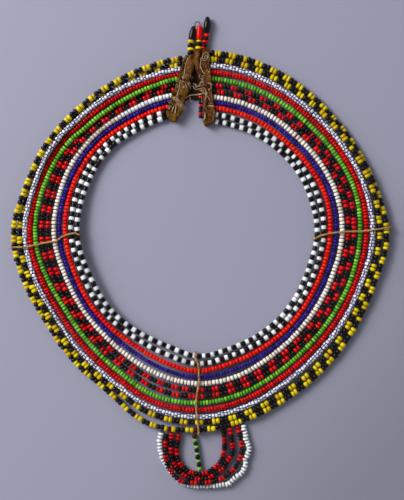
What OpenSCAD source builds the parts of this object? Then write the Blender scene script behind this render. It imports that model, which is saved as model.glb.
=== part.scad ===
// Flat collar of twelve bead strands on wire, with hide spacers, three thong ties,
// two stitched hide ends, a looped pendant and a three-string fastening.
// Millimetres. X and Y lie in the collar's plane, +Y points to the fastening, +Z is up.
// The origin is the centre of the neck opening, on the surface that the collar lies on.

/* [Beads] */
// Diameter of the black and white beads at the inner rim
rim_bead_d = 2.7; // [2.3:0.1:2.7]
// Diameter of the orange-red beads
orange_bead_d = 2.6; // [2.2:0.1:2.6]
// Diameter of the blue beads
blue_bead_d = 2.3; // [2:0.1:2.3]
// Diameter of the cream beads
cream_bead_d = 2.7; // [2.3:0.1:2.7]
// Diameter of the red and black beads
check_bead_d = 2.7; // [2.3:0.1:2.7]
// Diameter of the green beads
green_bead_d = 2.8; // [2.4:0.1:2.8]
// Diameter of the dark red beads
red_bead_d = 2.5; // [2.2:0.1:2.5]
// Diameter of the striped beads
striped_bead_d = 2.5; // [2.2:0.1:2.5]
// Diameter of the yellow and black beads at the edge
edge_bead_d = 3; // [2.6:0.1:3]
// Diameter of the wire that the beads are strung on
wire_d = 0.6; // [0.4:0.1:0.6]

/* [Hide] */
// Thickness of the hide that the stitched ends are folded from
hide_t = 1.2; // [1.1:0.1:1.2]
// Height of the slot inside the fold, where the wires end
slot_h = 2; // [2:0.1:2.2]
// Width of the fold that closes the slot
fold_w = 1.3; // [1:0.1:1.4]
// Thickness of the spacer strips
spacer_t = 0.8; // [0.6:0.1:1]
// Diameter of the holes for the wires in the spacers
spacer_bore_d = 0.9; // [0.8:0.05:1]
// Diameter of the thong ties
tie_d = 1; // [0.8:0.1:1]

/* [Fastening] */
// Diameter of the small beads on the three strings
string_bead_d = 2.5; // [2.2:0.1:2.5]
// Diameter of the two long end beads that hang level
end_bead_d = 3.1; // [2.8:0.1:3.1]
// Length of the two long end beads that hang level
end_bead_l = 7.4; // [6:0.2:7.4]
// Diameter of the spindle bead
spindle_d = 3.6; // [3:0.1:3.6]
// Length of the spindle bead
spindle_l = 8.8; // [7:0.2:9]
// Outer diameter of the wire ring
ring_d = 3; // [2.6:0.1:3]

/* [Hidden] */

// Rows run from the fastening (90 degrees) round the left side, the front (270) and the
// right side (360) back to the fastening (450). The columns are the angle, the distance
// of strands 1, 3, 5, 8, 10, 11 and 12 from the centre of the opening, and how far the
// inner rim stands up.
SECTIONS = [
  [ 90, 67.0, 72.8, 78.4, 87.0, 92.3, 95.2,  98.3, 0  ],
  [105, 67.6, 73.3, 78.7, 86.9, 92.0, 94.3,  96.9, 0  ],
  [120, 67.5, 73.1, 78.4, 86.0, 91.8, 93.8,  95.9, 0  ],
  [135, 68.6, 74.2, 79.6, 86.5, 92.2, 94.1,  95.9, 0.2],
  [150, 67.7, 74.2, 80.0, 88.5, 94.0, 95.4,  97.1, 0.5],
  [165, 67.4, 74.3, 80.0, 89.5, 94.6, 96.8,  98.6, 1.2],
  [180, 66.7, 73.2, 79.6, 89.9, 95.7, 98.6, 101.7, 2  ],
  [195, 64.3, 71.2, 76.9, 86.8, 93.1, 95.9,  99.0, 2.6],
  [210, 63.0, 70.2, 75.6, 83.6, 90.6, 93.5,  95.9, 2.8],
  [225, 62.7, 69.5, 75.1, 84.1, 90.8, 93.8,  96.7, 2.4],
  [240, 62.2, 69.6, 76.5, 86.5, 92.8, 95.6,  98.8, 1.6],
  [255, 63.0, 71.8, 79.3, 91.0, 97.8, 101.1, 106.6, 0.8],
  [270, 66.1, 74.3, 81.2, 91.9, 99.6, 102.7, 106.7, 0.2],
  [285, 64.6, 72.3, 80.2, 90.1, 97.6, 101.0, 104.1, 0  ],
  [300, 64.1, 71.2, 77.7, 87.2, 94.1, 98.3, 101.6, 0  ],
  [315, 64.0, 70.6, 76.4, 85.7, 92.5, 97.0, 100.3, 0  ],
  [330, 63.6, 70.3, 76.3, 86.1, 92.7, 96.3,  99.7, 0  ],
  [345, 63.6, 71.0, 77.2, 87.5, 93.5, 97.0, 100.3, 0  ],
  [360, 65.5, 72.6, 79.2, 89.0, 96.0, 100.0, 103.8, 0  ],
  [375, 65.5, 73.6, 79.6, 89.9, 95.6, 99.0, 101.1, 0  ],
  [390, 65.7, 72.5, 78.5, 88.2, 94.2, 97.1,  99.3, 0  ],
  [405, 65.0, 71.1, 77.2, 86.6, 92.8, 96.1,  98.8, 0  ],
  [420, 64.6, 71.2, 77.2, 86.6, 93.0, 96.3,  99.7, 0  ],
  [435, 63.8, 71.2, 77.0, 86.8, 94.1, 97.5, 100.8, 0  ],
  [450, 63.8, 71.2, 76.8, 87.0, 94.2, 97.6, 101.0, 0  ],
];
section_turn = 15;
LIFT = 8;
lifted_strands = 4;

// Strand 12 lies over strand 11 up to this angle, and under it from there on
swap_angle = 187;
swap_turn = 8;

// Where each strand lies between the columns of SECTIONS: its lower column, its upper
// column and its share of the way between them
PLACES = [
  [1, 1, 0], [1, 2, 1 / 2], [2, 2, 0], [2, 3, 1 / 2], [3, 3, 0], [3, 4, 1 / 3],
  [3, 4, 2 / 3], [4, 4, 0], [4, 5, 1 / 2], [5, 5, 0], [6, 6, 0], [7, 7, 0],
];
BEAD_D = [
  rim_bead_d, rim_bead_d, orange_bead_d, blue_bead_d, cream_bead_d, check_bead_d,
  check_bead_d, green_bead_d, red_bead_d, striped_bead_d, edge_bead_d, edge_bead_d,
];
STRAND_COLORS = [
  "white", "white", "orangered", "navy", "ivory", "crimson",
  "crimson", "limegreen", "firebrick", "lavender", "gold", "gold",
];

// Each spacer runs straight from its inner end to its outer end: the two angles
SPACERS = [[143.3, 146.7], [229.3, 231.4], [315, 318.2], [403.3, 407.5]];
spacer_inner_r = 61;
spacer_outer_r = 102;

// How far a spacer stands past the strands' axes, at its edges and at its ends, and its foot
spacer_edge = 0.9;
spacer_tip = 1.3;
spacer_foot = 0.2;

// Gap between two strands that pass, and how much steeper than that one strand climbs
pass_gap = 0.1;
steepness = 1.12;
// Gaps beside the spacers, round the ties and below the ties
seat_gap = 0.15;
tie_gap = 0.25;
tie_foot = 0.02;
// Gaps between the hide ends and the first and the last beads, and the wire that reaches in
left_bead_gap = 0.95;
right_bead_gap = 0.4;
wire_reach = 2.6;

// Height of the strands' axes on the surface, and how they rise over each tie's lower pass
ground_z = 1.65;
tie_rise = 1.1;
tie_angles = [181, 269.5, 361.5];
tie_reach = 36;
// How sharply a tie bends at its corners, how far it tucks in below the band, the points of
// its lower pass, and how far beside its axis it feels the strands
tie_bend = 0.8;
tie_tuck = 1.4;
tie_steps = 5;
tie_side = 1.2;

// Turn between a strand's rings, and the sides of the swept and the turned pieces
ring_turn = 7;
strand_sides = 8;
bore_sides = 24;
bead_sides = 32;
wire_sides = 16;

// Angles where the strands start and end, roughly, and the steps that close in on a crossing
start_angle = 98;
finish_angle = 445;
closing_steps = 6;
half_degree = 0.5;

// Edges of the hide ends, from the top down, as [y, x]. The slot's back follows the inner
// edge between these two heights, and its outline runs past the hide by slot_past
slot_low = 64;
slot_high = 99;
slot_past = 6;
LEFT_END_OUTER = [
  [99.2, -6.9], [91.7, -9.7], [85.4, -11.6], [79.1, -13.5], [75.6, -15.2], [68, -17.3], [64.9, -17],
];
LEFT_END_INNER = [
  [99.2, -2], [94.5, -1.9], [89.9, -2.9], [84.8, -4.7], [80.7, -4.4], [77.6, -5.6], [75.2, -7.2],
  [72.8, -7.3], [67.8, -8.8], [63, -12], [62.9, -14.6],
];
RIGHT_END_OUTER = [
  [102.1, 6.1], [101.2, 6.4], [94.9, 6.1], [88.6, 6.7], [82.3, 7.3], [76, 8], [68, 9.2], [63.3, 8.9],
];
RIGHT_END_INNER = [
  [102.1, -1.5], [98, -1.5], [94.9, -1.2], [91.7, -0.2], [87.3, 0.1], [84.8, 1.3], [79, 1.6],
  [77, 2.8], [69.6, 2.8], [62.6, 2.7], [60.5, 3.6], [61, 6.6],
];

// Upper pass of each tie, from the inner rim outwards
TIE_LEFT = [
  [-65.6, 0.6], [-67.4, 1.5], [-73.3, 0.1], [-76.2, -1.7], [-78.2, -2.9], [-85.5, -4.1],
  [-93.9, -6], [-101, -6.3],
];
TIE_BOTTOM = [
  [-1.7, -65.4], [-0.8, -68.5], [0.2, -71.7], [0.4, -80.6], [-0.8, -87.7], [-1, -94.9],
  [-0.2, -102.6], [0.2, -106.8],
];
TIE_RIGHT = [
  [64.4, -1.4], [66.3, -0.3], [69.7, 0.7], [75.8, 1.8], [82.3, 2.3], [88.9, 2.5], [95.4, 3.1],
  [98.9, 3.7], [101, 4], [104, 4.6],
];

// Routes of the pendant's strands, which lie flat, and where the outer one climbs over
// the white one and the middle one
pendant_z = 1.45;
over_z = 3.75;
PENDANT_WHITE = [
  [-20.4, -108.9, 0], [-21, -112.4, 0], [-21.1, -116.7, 0], [-20.6, -120.9, 0], [-19.1, -124.6, 0],
  [-15.7, -129.4, 0], [-12.2, -133.7, 0], [-8, -137.6, 0], [-2.1, -138.3, 0], [3.6, -138.3, 0],
  [8.6, -138, 0], [15.6, -137, 0], [18.3, -135.2, 0], [21, -132.5, 0], [24.6, -130, 0],
  [26, -126.3, 0], [26.2, -122.5, 0], [27.4, -119.7, 0], [28.3, -117.4, 0], [27.4, -114.7, 0],
  [26.6, -112.4, 0], [26, -109.3, 0], [25.3, -106.4, 0],
];
PENDANT_OUTER = [
  [-17.7, -109.9, 0], [-18, -114.3, 0], [-17.7, -118.2, 0.2], [-17.3, -122.1, 0.8],
  [-16.4, -125.6, 1], [-14.5, -128.6, 1], [-12.2, -132.1, 1], [-9.5, -134.6, 1], [-5.6, -136, 1],
  [-2.1, -136.3, 1], [2.1, -136.3, 1], [5.9, -136, 0.8], [9.4, -134.9, 0.2], [13.3, -133.8, 0],
  [16, -131.7, 0], [18.7, -129.8, 0], [21, -126.7, 0], [22.9, -123.3, 0], [24, -119.4, 0],
  [24, -114.7, 0], [23.2, -110.9, 0], [22.3, -107.4, 0],
];
PENDANT_MIDDLE = [
  [-14.5, -109.6, 0], [-14.7, -113.6, 0], [-14.8, -117, 0], [-14.7, -120.9, 0],
  [-13.9, -124.4, 0], [-12.2, -127.5, 0], [-9.1, -130.6, 0], [-5.6, -132.9, 0], [-1.8, -134, 0],
  [2.1, -134, 0], [6.3, -133.3, 0], [9.6, -130.8, 0], [13.5, -128.6, 0], [15.7, -125, 0],
  [17.5, -122.5, 0], [19.1, -119.4, 0], [18.8, -114.7, 0], [18.3, -110.5, 0], [17.7, -107.2, 0],
];
PENDANT_INNER = [
  [-10.5, -109.8, 0], [-11.2, -113.6, 0], [-11.7, -117.4, 0], [-11.6, -120.9, 0],
  [-10.4, -124.6, 0], [-7.7, -127.9, 0], [-4.7, -129.9, 0], [-0.6, -131, 0], [3.2, -130.9, 0],
  [7.2, -129, 0], [10.7, -126.4, 0], [12.9, -123.4, 0], [14.1, -119.7, 0], [14.6, -115.5, 0],
  [14.5, -111.7, 0], [14.1, -108.7, 0],
];
PENDANT_CENTRE = [[-2.1, -109.9, 0], [-0.9, -116.8, 0], [0.1, -123.2, 0], [1, -129, 0]];

// Routes of the fastening's strings, from the hide end outwards. The first point is the
// wire's end in the slot, the second the first bead's foot, the last one where the wire stops
STRING_LEFT = [[-4.5, 96.4], [-4.2, 99.6], [-4, 104.1], [-3.7, 107.9], [-2.3, 115.6]];
STRING_MIDDLE = [[1.2, 99], [0.1, 102.5], [0.3, 105.1], [0.6, 107.9], [1, 115.6]];
STRING_RIGHT = [[2.7, 99], [2.6, 102.5], [3.8, 106.2], [4.8, 111.5], [5.3, 120.8]];
STRING_INNER = [[1.35, 76], [1.3, 70], [1.4, 64]];
ring_centre = [-0.6, 117.6];
string_z = 1.9;
string_bore_d = 0.9;

function last(list) = list[len(list) - 1];
function reversed(list) = [for (i = [len(list) - 1:-1:0]) list[i]];
function unit(v) = v / norm(v);
function mix(a, b, share) = a + (b - a) * share;

// 1 at the middle, falling smoothly to 0 at reach to either side
function bump(x, reach) = abs(x) < reach ? pow(cos(90 * x / reach), 2) : 0;

// Smooth curve through p1 and p2, with p0 before them and p3 after them
function curve(p0, p1, p2, p3, t) =
  0.5 * (2 * p1 + (p2 - p0) * t + (2 * p0 - 5 * p1 + 4 * p2 - p3) * t * t
  + (3 * p1 - p0 - 3 * p2 + p3) * t * t * t);

// One column of SECTIONS at any angle
function column(c, a) =
  let (
    most = len(SECTIONS) - 1,
    i = min(most - 1, max(0, floor((a - SECTIONS[0][0]) / section_turn))),
    t = (a - SECTIONS[i][0]) / section_turn
  )
  curve(SECTIONS[max(0, i - 1)][c], SECTIONS[i][c], SECTIONS[i + 1][c],
    SECTIONS[min(most, i + 2)][c], t);

// Distance of strand k, counted from 0 at the inner rim, from the centre of the opening
function strand_r(k, a) = mix(column(PLACES[k][0], a), column(PLACES[k][1], a), PLACES[k][2]);

// How far strand k + 1 has to stand above strand k, or below it, to pass it
function step_over(k, a) =
  let (
    side = strand_r(k + 1, a) - strand_r(k, a),
    reach = (BEAD_D[k] + BEAD_D[k + 1]) / 2 + pass_gap
  )
  steepness * sqrt(max(0, reach * reach - side * side));

function over(a) = min(1, max(0, (swap_angle + swap_turn / 2 - a) / swap_turn));

// Where the strands crowd, every other one rides up over its neighbours
function strand_rise(k, a) =
  k == 5 ? max(step_over(4, a), step_over(5, a))
  : k == 7 ? max(step_over(6, a), step_over(7, a))
  : k == 9 ? max(step_over(8, a), step_over(9, a))
  : k == 10 ? (1 - over(a)) * step_over(10, a)
  : k == 11 ? over(a) * step_over(10, a)
  : 0;

// The strands lie on the surface, apart from where they ride over the ties' lower pass,
// and the inner rim stands up at the left
function band_z(a) = ground_z + tie_rise * max([for (t = tie_angles) bump(a - t, tie_reach)]);
function strand_z(k, a) =
  band_z(a) + strand_rise(k, a) + column(LIFT, a) * max(0, 1 - k / lifted_strands);

function strand_point(k, a) =
  let (r = strand_r(k, a))
  [r * cos(a), r * sin(a), strand_z(k, a)];
function strand_way(k, a) =
  unit(strand_point(k, a + half_degree) - strand_point(k, a - half_degree));

// The angle at which strand k meets a hide end, found by closing in on its edge
function end_angle(k, edge, whole, gap, a, tries) =
  tries == 0 ? a
  : let (
    r = strand_r(k, a),
    x = lookup(r * sin(a), reversed(edge)) + gap
  )
  end_angle(k, edge, whole, gap, whole + acos(x / r), tries - 1);
function left_angle(k) =
  end_angle(k, LEFT_END_OUTER, 0, -left_bead_gap, start_angle, closing_steps);
function right_angle(k) =
  end_angle(k, RIGHT_END_OUTER, 360, right_bead_gap, finish_angle, closing_steps);

// The straight line of spacer s: its inner end, its way outwards and the way through it
function spacer_end(s, end, r) = r * [cos(SPACERS[s][end]), sin(SPACERS[s][end]), 0];
function spacer_along(s) =
  unit(spacer_end(s, 1, spacer_outer_r) - spacer_end(s, 0, spacer_inner_r));
function spacer_through(s) = cross([0, 0, 1], spacer_along(s));

// The angle at which strand k passes spacer s, found by closing in on that line
function spacer_angle(s, k, a, tries) =
  let (
    through = spacer_through(s),
    heading = atan2(through[1], through[0]),
    whole = 360 * round((SPACERS[s][0] + 90 - heading) / 360),
    off = spacer_end(s, 0, spacer_inner_r) * through
  )
  tries == 0 ? a : spacer_angle(s, k, whole + heading - acos(off / strand_r(k, a)), tries - 1);
function crossing(k, s) = spacer_angle(s, k, SPACERS[s][0], closing_steps);

// A ring of points with radius r round a centre, square to the way of travel
function ring(centre, way, up, r, sides) =
  let (
    u = unit(cross(up, way)),
    v = cross(way, u)
  )
  [for (i = [0:sides - 1]) centre + r * (cos(360 * i / sides) * u + sin(360 * i / sides) * v)];

function flat(lists) = [for (list = lists) each list];

// Triangles between ring j and ring i
function band_faces(i, j, sides) = [
  for (s = [0:sides - 1])
    let (n = (s + 1) % sides)
    each [[i * sides + s, j * sides + n, i * sides + n], [i * sides + s, j * sides + s, j * sides + n]]
];

// A solid swept through stations, each one a centre, a way of travel and a radius
module sweep(stations, up = [0, 0, 1], closed = false, sides = strand_sides) {
  most = len(stations) - 1;
  points = flat([for (s = stations) ring(s[0], s[1], up, s[2], sides)]);
  sleeve = flat([for (i = [0:most - 1]) band_faces(i, i + 1, sides)]);
  ends = closed ? band_faces(most, 0, sides) : [
    [for (s = [0:sides - 1]) s],
    [for (s = [sides - 1:-1:0]) most * sides + s]
  ];
  polyhedron(points, concat(sleeve, ends));
}

// A station of strand k at angle a
function station(k, a, d) = [strand_point(k, a), strand_way(k, a), d / 2];

// A station of strand k beside spacer s, before it (-1) or past it (1), square to its bore
function spacer_station(k, s, side, d) =
  let (through = spacer_through(s))
  [strand_point(k, crossing(k, s)) + side * (spacer_t / 2 + seat_gap) * through, through, d / 2];

// The stations of strand k between two angles, without the first and the last one
function between(k, a, b) =
  let (steps = max(2, ceil((b - a) / ring_turn)))
  [for (i = [1:steps - 1]) station(k, mix(a, b, i / steps), BEAD_D[k])];

// One strand of beads, which thins to its wire in the hide ends and in the spacers
module strand(k) {
  d = BEAD_D[k];
  a = left_angle(k);
  b = right_angle(k);
  spacers = len(SPACERS);
  stops = [for (s = [0:spacers - 1]) crossing(k, s)];
  first = strand_point(k, a) - wire_reach * strand_way(k, a);
  final = strand_point(k, b) + wire_reach * strand_way(k, b);
  color(STRAND_COLORS[k])
    sweep(concat(
      [[first, strand_way(k, a), wire_d / 2], station(k, a, wire_d), station(k, a, d)],
      between(k, a, stops[0]),
      flat([
        for (s = [0:spacers - 1])
          concat(
            [
              spacer_station(k, s, -1, d), spacer_station(k, s, -1, wire_d),
              spacer_station(k, s, 1, wire_d), spacer_station(k, s, 1, d)
            ],
            between(k, stops[s], s < spacers - 1 ? stops[s + 1] : b)
          )
      ]),
      [station(k, b, d), station(k, b, wire_d), [final, strand_way(k, b), wire_d / 2]]
    ));
}

// A hide strip on edge, with a hole for each wire
module spacer(s) {
  inner = spacer_end(s, 0, spacer_inner_r);
  along = spacer_along(s);
  heading = atan2(along[1], along[0]);
  points = [for (k = [0:len(BEAD_D) - 1]) strand_point(k, crossing(k, s))];
  places = [for (p = points) [(p - inner) * along, p[2]]];
  top = [for (p = places) [p[0], p[1] + spacer_edge]];
  foot = [for (p = places) [p[0], max(spacer_foot, p[1] - spacer_edge)]];
  from = places[0][0] - spacer_tip;
  to = last(places)[0] + spacer_tip;
  outline = concat(
    [[from, top[0][1]]],
    top,
    [[to, last(top)[1]], [to, last(foot)[1]]],
    reversed(foot),
    [[from, foot[0][1]]]
  );
  color("sienna")
    translate([inner[0], inner[1], 0])
      rotate([0, 0, heading])
        difference() {
          rotate([90, 0, 0])
            translate([0, 0, -spacer_t / 2])
              linear_extrude(spacer_t)
                polygon(outline);
          for (p = places)
            translate([p[0], 0, p[1]])
              rotate([90, 0, 0])
                cylinder(h = 4 * spacer_t, d = spacer_bore_d, center = true, $fn = bore_sides);
        }
}

// The angle of a point in plan, counted as in SECTIONS
function round_angle(p) = let (a = atan2(p[1], p[0])) a < 90 ? a + 360 : a;

// The height of a tie's upper pass over the strands at a point in plan
function tie_top(p) =
  let (
    a = round_angle(p),
    r = norm(p),
    near = [
      for (k = [0:len(BEAD_D) - 1])
        let (side = abs(strand_r(k, a) - r))
        side < BEAD_D[k] / 2 + tie_side ? strand_z(k, a) + BEAD_D[k] / 2 : 0
    ]
  )
  max(near) + tie_gap + tie_d / 2;

// A thong round the band: over the strands, down at the edge, back below and up again
module tie(plan) {
  n = len(plan) - 1;
  inner = plan[0];
  outer = plan[n];
  out = unit(outer - inner);
  across = [-out[1], out[0], 0];
  low = tie_d / 2 + tie_foot;
  upper = [for (p = plan) [p[0], p[1], tie_top(p)]];
  beside = tie_gap + tie_d / 2;
  edge_strand = len(BEAD_D) - 1;
  rim = (strand_r(0, round_angle(inner)) - BEAD_D[0] / 2 - beside) * unit(inner);
  edge = (strand_r(edge_strand, round_angle(outer)) + BEAD_D[edge_strand] / 2 + beside) * unit(outer);
  tuck = tie_tuck * out;
  points = concat(
    upper,
    [[edge[0], edge[1], upper[n][2] - tie_bend], [edge[0], edge[1], low + tie_bend]],
    [for (i = [0:tie_steps]) let (p = mix(edge - tuck, rim + tuck, i / tie_steps)) [p[0], p[1], low]],
    [[rim[0], rim[1], low + tie_bend], [rim[0], rim[1], upper[0][2] - tie_bend]]
  );
  m = len(points);
  color("burlywood")
    sweep([
      for (i = [0:m - 1])
        [points[i], unit(points[(i + 1) % m] - points[(i + m - 1) % m]), tie_d / 2]
    ], up = across, closed = true);
}

// A hide strip folded over the wires' ends, with the slot open on the strands' side
module hide_end(outer, inner, side) {
  height = 2 * hide_t + slot_h;
  outline = [for (p = concat(outer, reversed(inner))) [p[1], p[0]]];
  back = [for (p = inner) if (p[0] > slot_low && p[0] < slot_high) [p[1] + side * fold_w, p[0]]];
  top_y = outer[0][0] + slot_past;
  foot_y = last(inner)[0] - slot_past;
  far_x = side * (max([for (p = outer) abs(p[1])]) + slot_past);
  slot = concat(
    [[back[0][0], top_y]],
    back,
    [[last(back)[0], foot_y], [far_x, foot_y], [far_x, top_y]]
  );
  color("saddlebrown")
    difference() {
      linear_extrude(height)
        polygon(outline);
      translate([0, 0, hide_t])
        linear_extrude(slot_h)
          polygon(slot);
    }
}

// A pendant strand along its route, whose third column is the share of the climb
module pendant(route, d, colour) {
  points = [for (p = route) [p[0], p[1], mix(pendant_z, over_z, p[2])]];
  most = len(points) - 1;
  color(colour)
    sweep([
      for (i = [0:most])
        [points[i], unit(points[min(most, i + 1)] - points[max(0, i - 1)]), d / 2]
    ]);
}

// A string of the fastening: bare wire to the route's second point, small beads to its
// fourth, and bare wire through its end bead
module bead_string(route) {
  points = [for (p = route) [p[0], p[1], string_z]];
  most = len(points) - 1;
  way = [for (i = [0:most]) unit(points[min(most, i + 1)] - points[max(0, i - 1)])];
  thin = wire_d / 2;
  thick = string_bead_d / 2;
  color("gold")
    sweep([
      [points[0], way[0], thin],
      [points[1], way[1], thin],
      [points[1], way[1], thick],
      [points[2], way[2], thick],
      [points[3], way[3], thick],
      [points[3], way[3], thin],
      [points[4], way[4], thin]
    ]);
}

// The short string that shows beside the right hide end
module string_inner() {
  points = [for (p = STRING_INNER) [p[0], p[1], string_z]];
  most = len(points) - 1;
  color("crimson")
    sweep([
      for (i = [0:most])
        [points[i], unit(points[min(most, i + 1)] - points[max(0, i - 1)]), string_bead_d / 2]
    ]);
}

// A drilled end bead on the last stretch of a string. The profile's rows are its share of
// the length and its share of the radius
module end_bead(route, d, l, profile, colour) {
  foot = route[3];
  tip = route[4];
  heading = atan2(tip[1] - foot[1], tip[0] - foot[0]);
  bore_r = string_bore_d / 2;
  color(colour)
    translate([foot[0], foot[1], string_z])
      rotate([0, 0, heading])
        rotate([0, 90, 0])
          translate([0, 0, seat_gap])
            rotate_extrude($fn = bead_sides)
              polygon(concat(
                [[bore_r, 0]],
                [for (p = profile) [p[1] * d / 2, p[0] * l]],
                [[bore_r, l]]
              ));
}

DROP = [[0, 0.75], [0.08, 0.93], [0.3, 1], [0.6, 0.94], [0.85, 0.74], [0.97, 0.5], [1, 0.4]];
BARREL = [[0, 0.7], [0.08, 0.88], [0.25, 0.98], [0.5, 1], [0.75, 0.98], [0.92, 0.88], [1, 0.7]];
SPINDLE = [[0, 0.5], [0.12, 0.74], [0.32, 0.96], [0.5, 1], [0.68, 0.94], [0.88, 0.68], [1, 0.42]];

module wire_ring() {
  color("dimgray")
    translate([ring_centre[0], ring_centre[1], string_z])
      rotate_extrude($fn = bead_sides)
        translate([(ring_d - wire_d) / 2, 0])
          circle(d = wire_d, $fn = wire_sides);
}

strand(0);  // strand_1
strand(1);  // strand_2
strand(2);  // strand_3
strand(3);  // strand_4
strand(4);  // strand_5
strand(5);  // strand_6
strand(6);  // strand_7
strand(7);  // strand_8
strand(8);  // strand_9
strand(9);  // strand_10
strand(10);  // strand_11
strand(11);  // strand_12
spacer(0);  // spacer_1
spacer(1);  // spacer_2
spacer(2);  // spacer_3
spacer(3);  // spacer_4
tie(TIE_LEFT);  // tie_left
tie(TIE_BOTTOM);  // tie_bottom
tie(TIE_RIGHT);  // tie_right
hide_end(LEFT_END_OUTER, LEFT_END_INNER, -1);  // hide_end_left
hide_end(RIGHT_END_OUTER, RIGHT_END_INNER, 1);  // hide_end_right
pendant(PENDANT_WHITE, cream_bead_d, "white");  // pendant_white
pendant(PENDANT_OUTER, check_bead_d, "crimson");  // pendant_outer
pendant(PENDANT_MIDDLE, check_bead_d, "crimson");  // pendant_middle
pendant(PENDANT_INNER, check_bead_d, "crimson");  // pendant_inner
pendant(PENDANT_CENTRE, string_bead_d, "limegreen");  // pendant_centre
bead_string(STRING_LEFT);  // string_left
bead_string(STRING_MIDDLE);  // string_middle
bead_string(STRING_RIGHT);  // string_right
string_inner();
end_bead(STRING_LEFT, end_bead_d, end_bead_l, DROP, "black");  // drop_bead
end_bead(STRING_MIDDLE, end_bead_d, end_bead_l, BARREL, "red");  // barrel_bead
end_bead(STRING_RIGHT, spindle_d, spindle_l, SPINDLE, "black");  // spindle_bead
wire_ring();
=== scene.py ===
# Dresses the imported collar: every strand as single beads on its wire, the folded and
# stitched hide ends, the twisted thongs and the strings of the fastening.
# The tables and the formulas of the strands' course repeat the part's own, in millimetres.
import math

import bpy
import numpy as np
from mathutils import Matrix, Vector, noise
from mathutils.bvhtree import BVHTree


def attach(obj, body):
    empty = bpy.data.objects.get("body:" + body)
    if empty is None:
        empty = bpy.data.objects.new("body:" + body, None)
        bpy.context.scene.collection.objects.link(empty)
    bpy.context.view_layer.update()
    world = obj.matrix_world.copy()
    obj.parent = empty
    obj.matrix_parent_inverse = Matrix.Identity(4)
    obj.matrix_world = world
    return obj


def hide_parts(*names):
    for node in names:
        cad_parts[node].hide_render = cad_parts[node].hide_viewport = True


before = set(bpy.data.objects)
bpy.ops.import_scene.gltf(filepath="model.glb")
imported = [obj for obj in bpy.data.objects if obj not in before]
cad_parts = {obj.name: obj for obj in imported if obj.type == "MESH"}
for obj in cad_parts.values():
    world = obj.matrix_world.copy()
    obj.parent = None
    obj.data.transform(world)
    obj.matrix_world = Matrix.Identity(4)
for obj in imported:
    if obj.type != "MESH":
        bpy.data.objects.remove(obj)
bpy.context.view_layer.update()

MM = 0.001
BODY = "root"
UP = np.array([0.0, 0.0, 1.0])
rng = np.random.default_rng(7)

# The band: angle, distance of strands 1, 3, 5, 8, 10, 11 and 12, and how far the inner rim
# stands up
SECTIONS = np.array([
    [90, 67.0, 72.8, 78.4, 87.0, 92.3, 95.2, 98.3, 0],
    [105, 67.6, 73.3, 78.7, 86.9, 92.0, 94.3, 96.9, 0],
    [120, 67.5, 73.1, 78.4, 86.0, 91.8, 93.8, 95.9, 0],
    [135, 68.6, 74.2, 79.6, 86.5, 92.2, 94.1, 95.9, 0.2],
    [150, 67.7, 74.2, 80.0, 88.5, 94.0, 95.4, 97.1, 0.5],
    [165, 67.4, 74.3, 80.0, 89.5, 94.6, 96.8, 98.6, 1.2],
    [180, 66.7, 73.2, 79.6, 89.9, 95.7, 98.6, 101.7, 2],
    [195, 64.3, 71.2, 76.9, 86.8, 93.1, 95.9, 99.0, 2.6],
    [210, 63.0, 70.2, 75.6, 83.6, 90.6, 93.5, 95.9, 2.8],
    [225, 62.7, 69.5, 75.1, 84.1, 90.8, 93.8, 96.7, 2.4],
    [240, 62.2, 69.6, 76.5, 86.5, 92.8, 95.6, 98.8, 1.6],
    [255, 63.0, 71.8, 79.3, 91.0, 97.8, 101.1, 106.6, 0.8],
    [270, 66.1, 74.3, 81.2, 91.9, 99.6, 102.7, 106.7, 0.2],
    [285, 64.6, 72.3, 80.2, 90.1, 97.6, 101.0, 104.1, 0],
    [300, 64.1, 71.2, 77.7, 87.2, 94.1, 98.3, 101.6, 0],
    [315, 64.0, 70.6, 76.4, 85.7, 92.5, 97.0, 100.3, 0],
    [330, 63.6, 70.3, 76.3, 86.1, 92.7, 96.3, 99.7, 0],
    [345, 63.6, 71.0, 77.2, 87.5, 93.5, 97.0, 100.3, 0],
    [360, 65.5, 72.6, 79.2, 89.0, 96.0, 100.0, 103.8, 0],
    [375, 65.5, 73.6, 79.6, 89.9, 95.6, 99.0, 101.1, 0],
    [390, 65.7, 72.5, 78.5, 88.2, 94.2, 97.1, 99.3, 0],
    [405, 65.0, 71.1, 77.2, 86.6, 92.8, 96.1, 98.8, 0],
    [420, 64.6, 71.2, 77.2, 86.6, 93.0, 96.3, 99.7, 0],
    [435, 63.8, 71.2, 77.0, 86.8, 94.1, 97.5, 100.8, 0],
    [450, 63.8, 71.2, 76.8, 87.0, 94.2, 97.6, 101.0, 0],
])
SECTION_TURN = 15
LIFT = 8
LIFTED_STRANDS = 4
SWAP_ANGLE = 187
SWAP_TURN = 8
# Between which two of those distances each strand lies, and how far along
PLACES = [
    [1, 1, 0], [1, 2, 1 / 2], [2, 2, 0], [2, 3, 1 / 2], [3, 3, 0], [3, 4, 1 / 3],
    [3, 4, 2 / 3], [4, 4, 0], [4, 5, 1 / 2], [5, 5, 0], [6, 6, 0], [7, 7, 0],
]
BEAD_D = [2.7, 2.7, 2.6, 2.3, 2.7, 2.7, 2.7, 2.8, 2.5, 2.5, 3, 3]
SPACERS = [[143.3, 146.7], [229.3, 231.4], [315, 318.2], [403.3, 407.5]]
SPACER_INNER_R = 61
SPACER_OUTER_R = 102
SPACER_EDGE = 0.9
SPACER_TIP = 1.3
SPACER_FOOT = 0.2
PASS_GAP = 0.1
STEEPNESS = 1.12
SEAT_GAP = 0.15
TIE_GAP = 0.25
TIE_FOOT = 0.02
LEFT_BEAD_GAP = 0.95
RIGHT_BEAD_GAP = 0.4
WIRE_REACH = 2.6
WIRE_D = 0.6
GROUND_Z = 1.65
TIE_RISE = 1.1
TIE_ANGLES = [181, 269.5, 361.5]
TIE_REACH = 36
TIE_D = 1
TIE_BEND = 0.8
TIE_TUCK = 1.4
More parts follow.
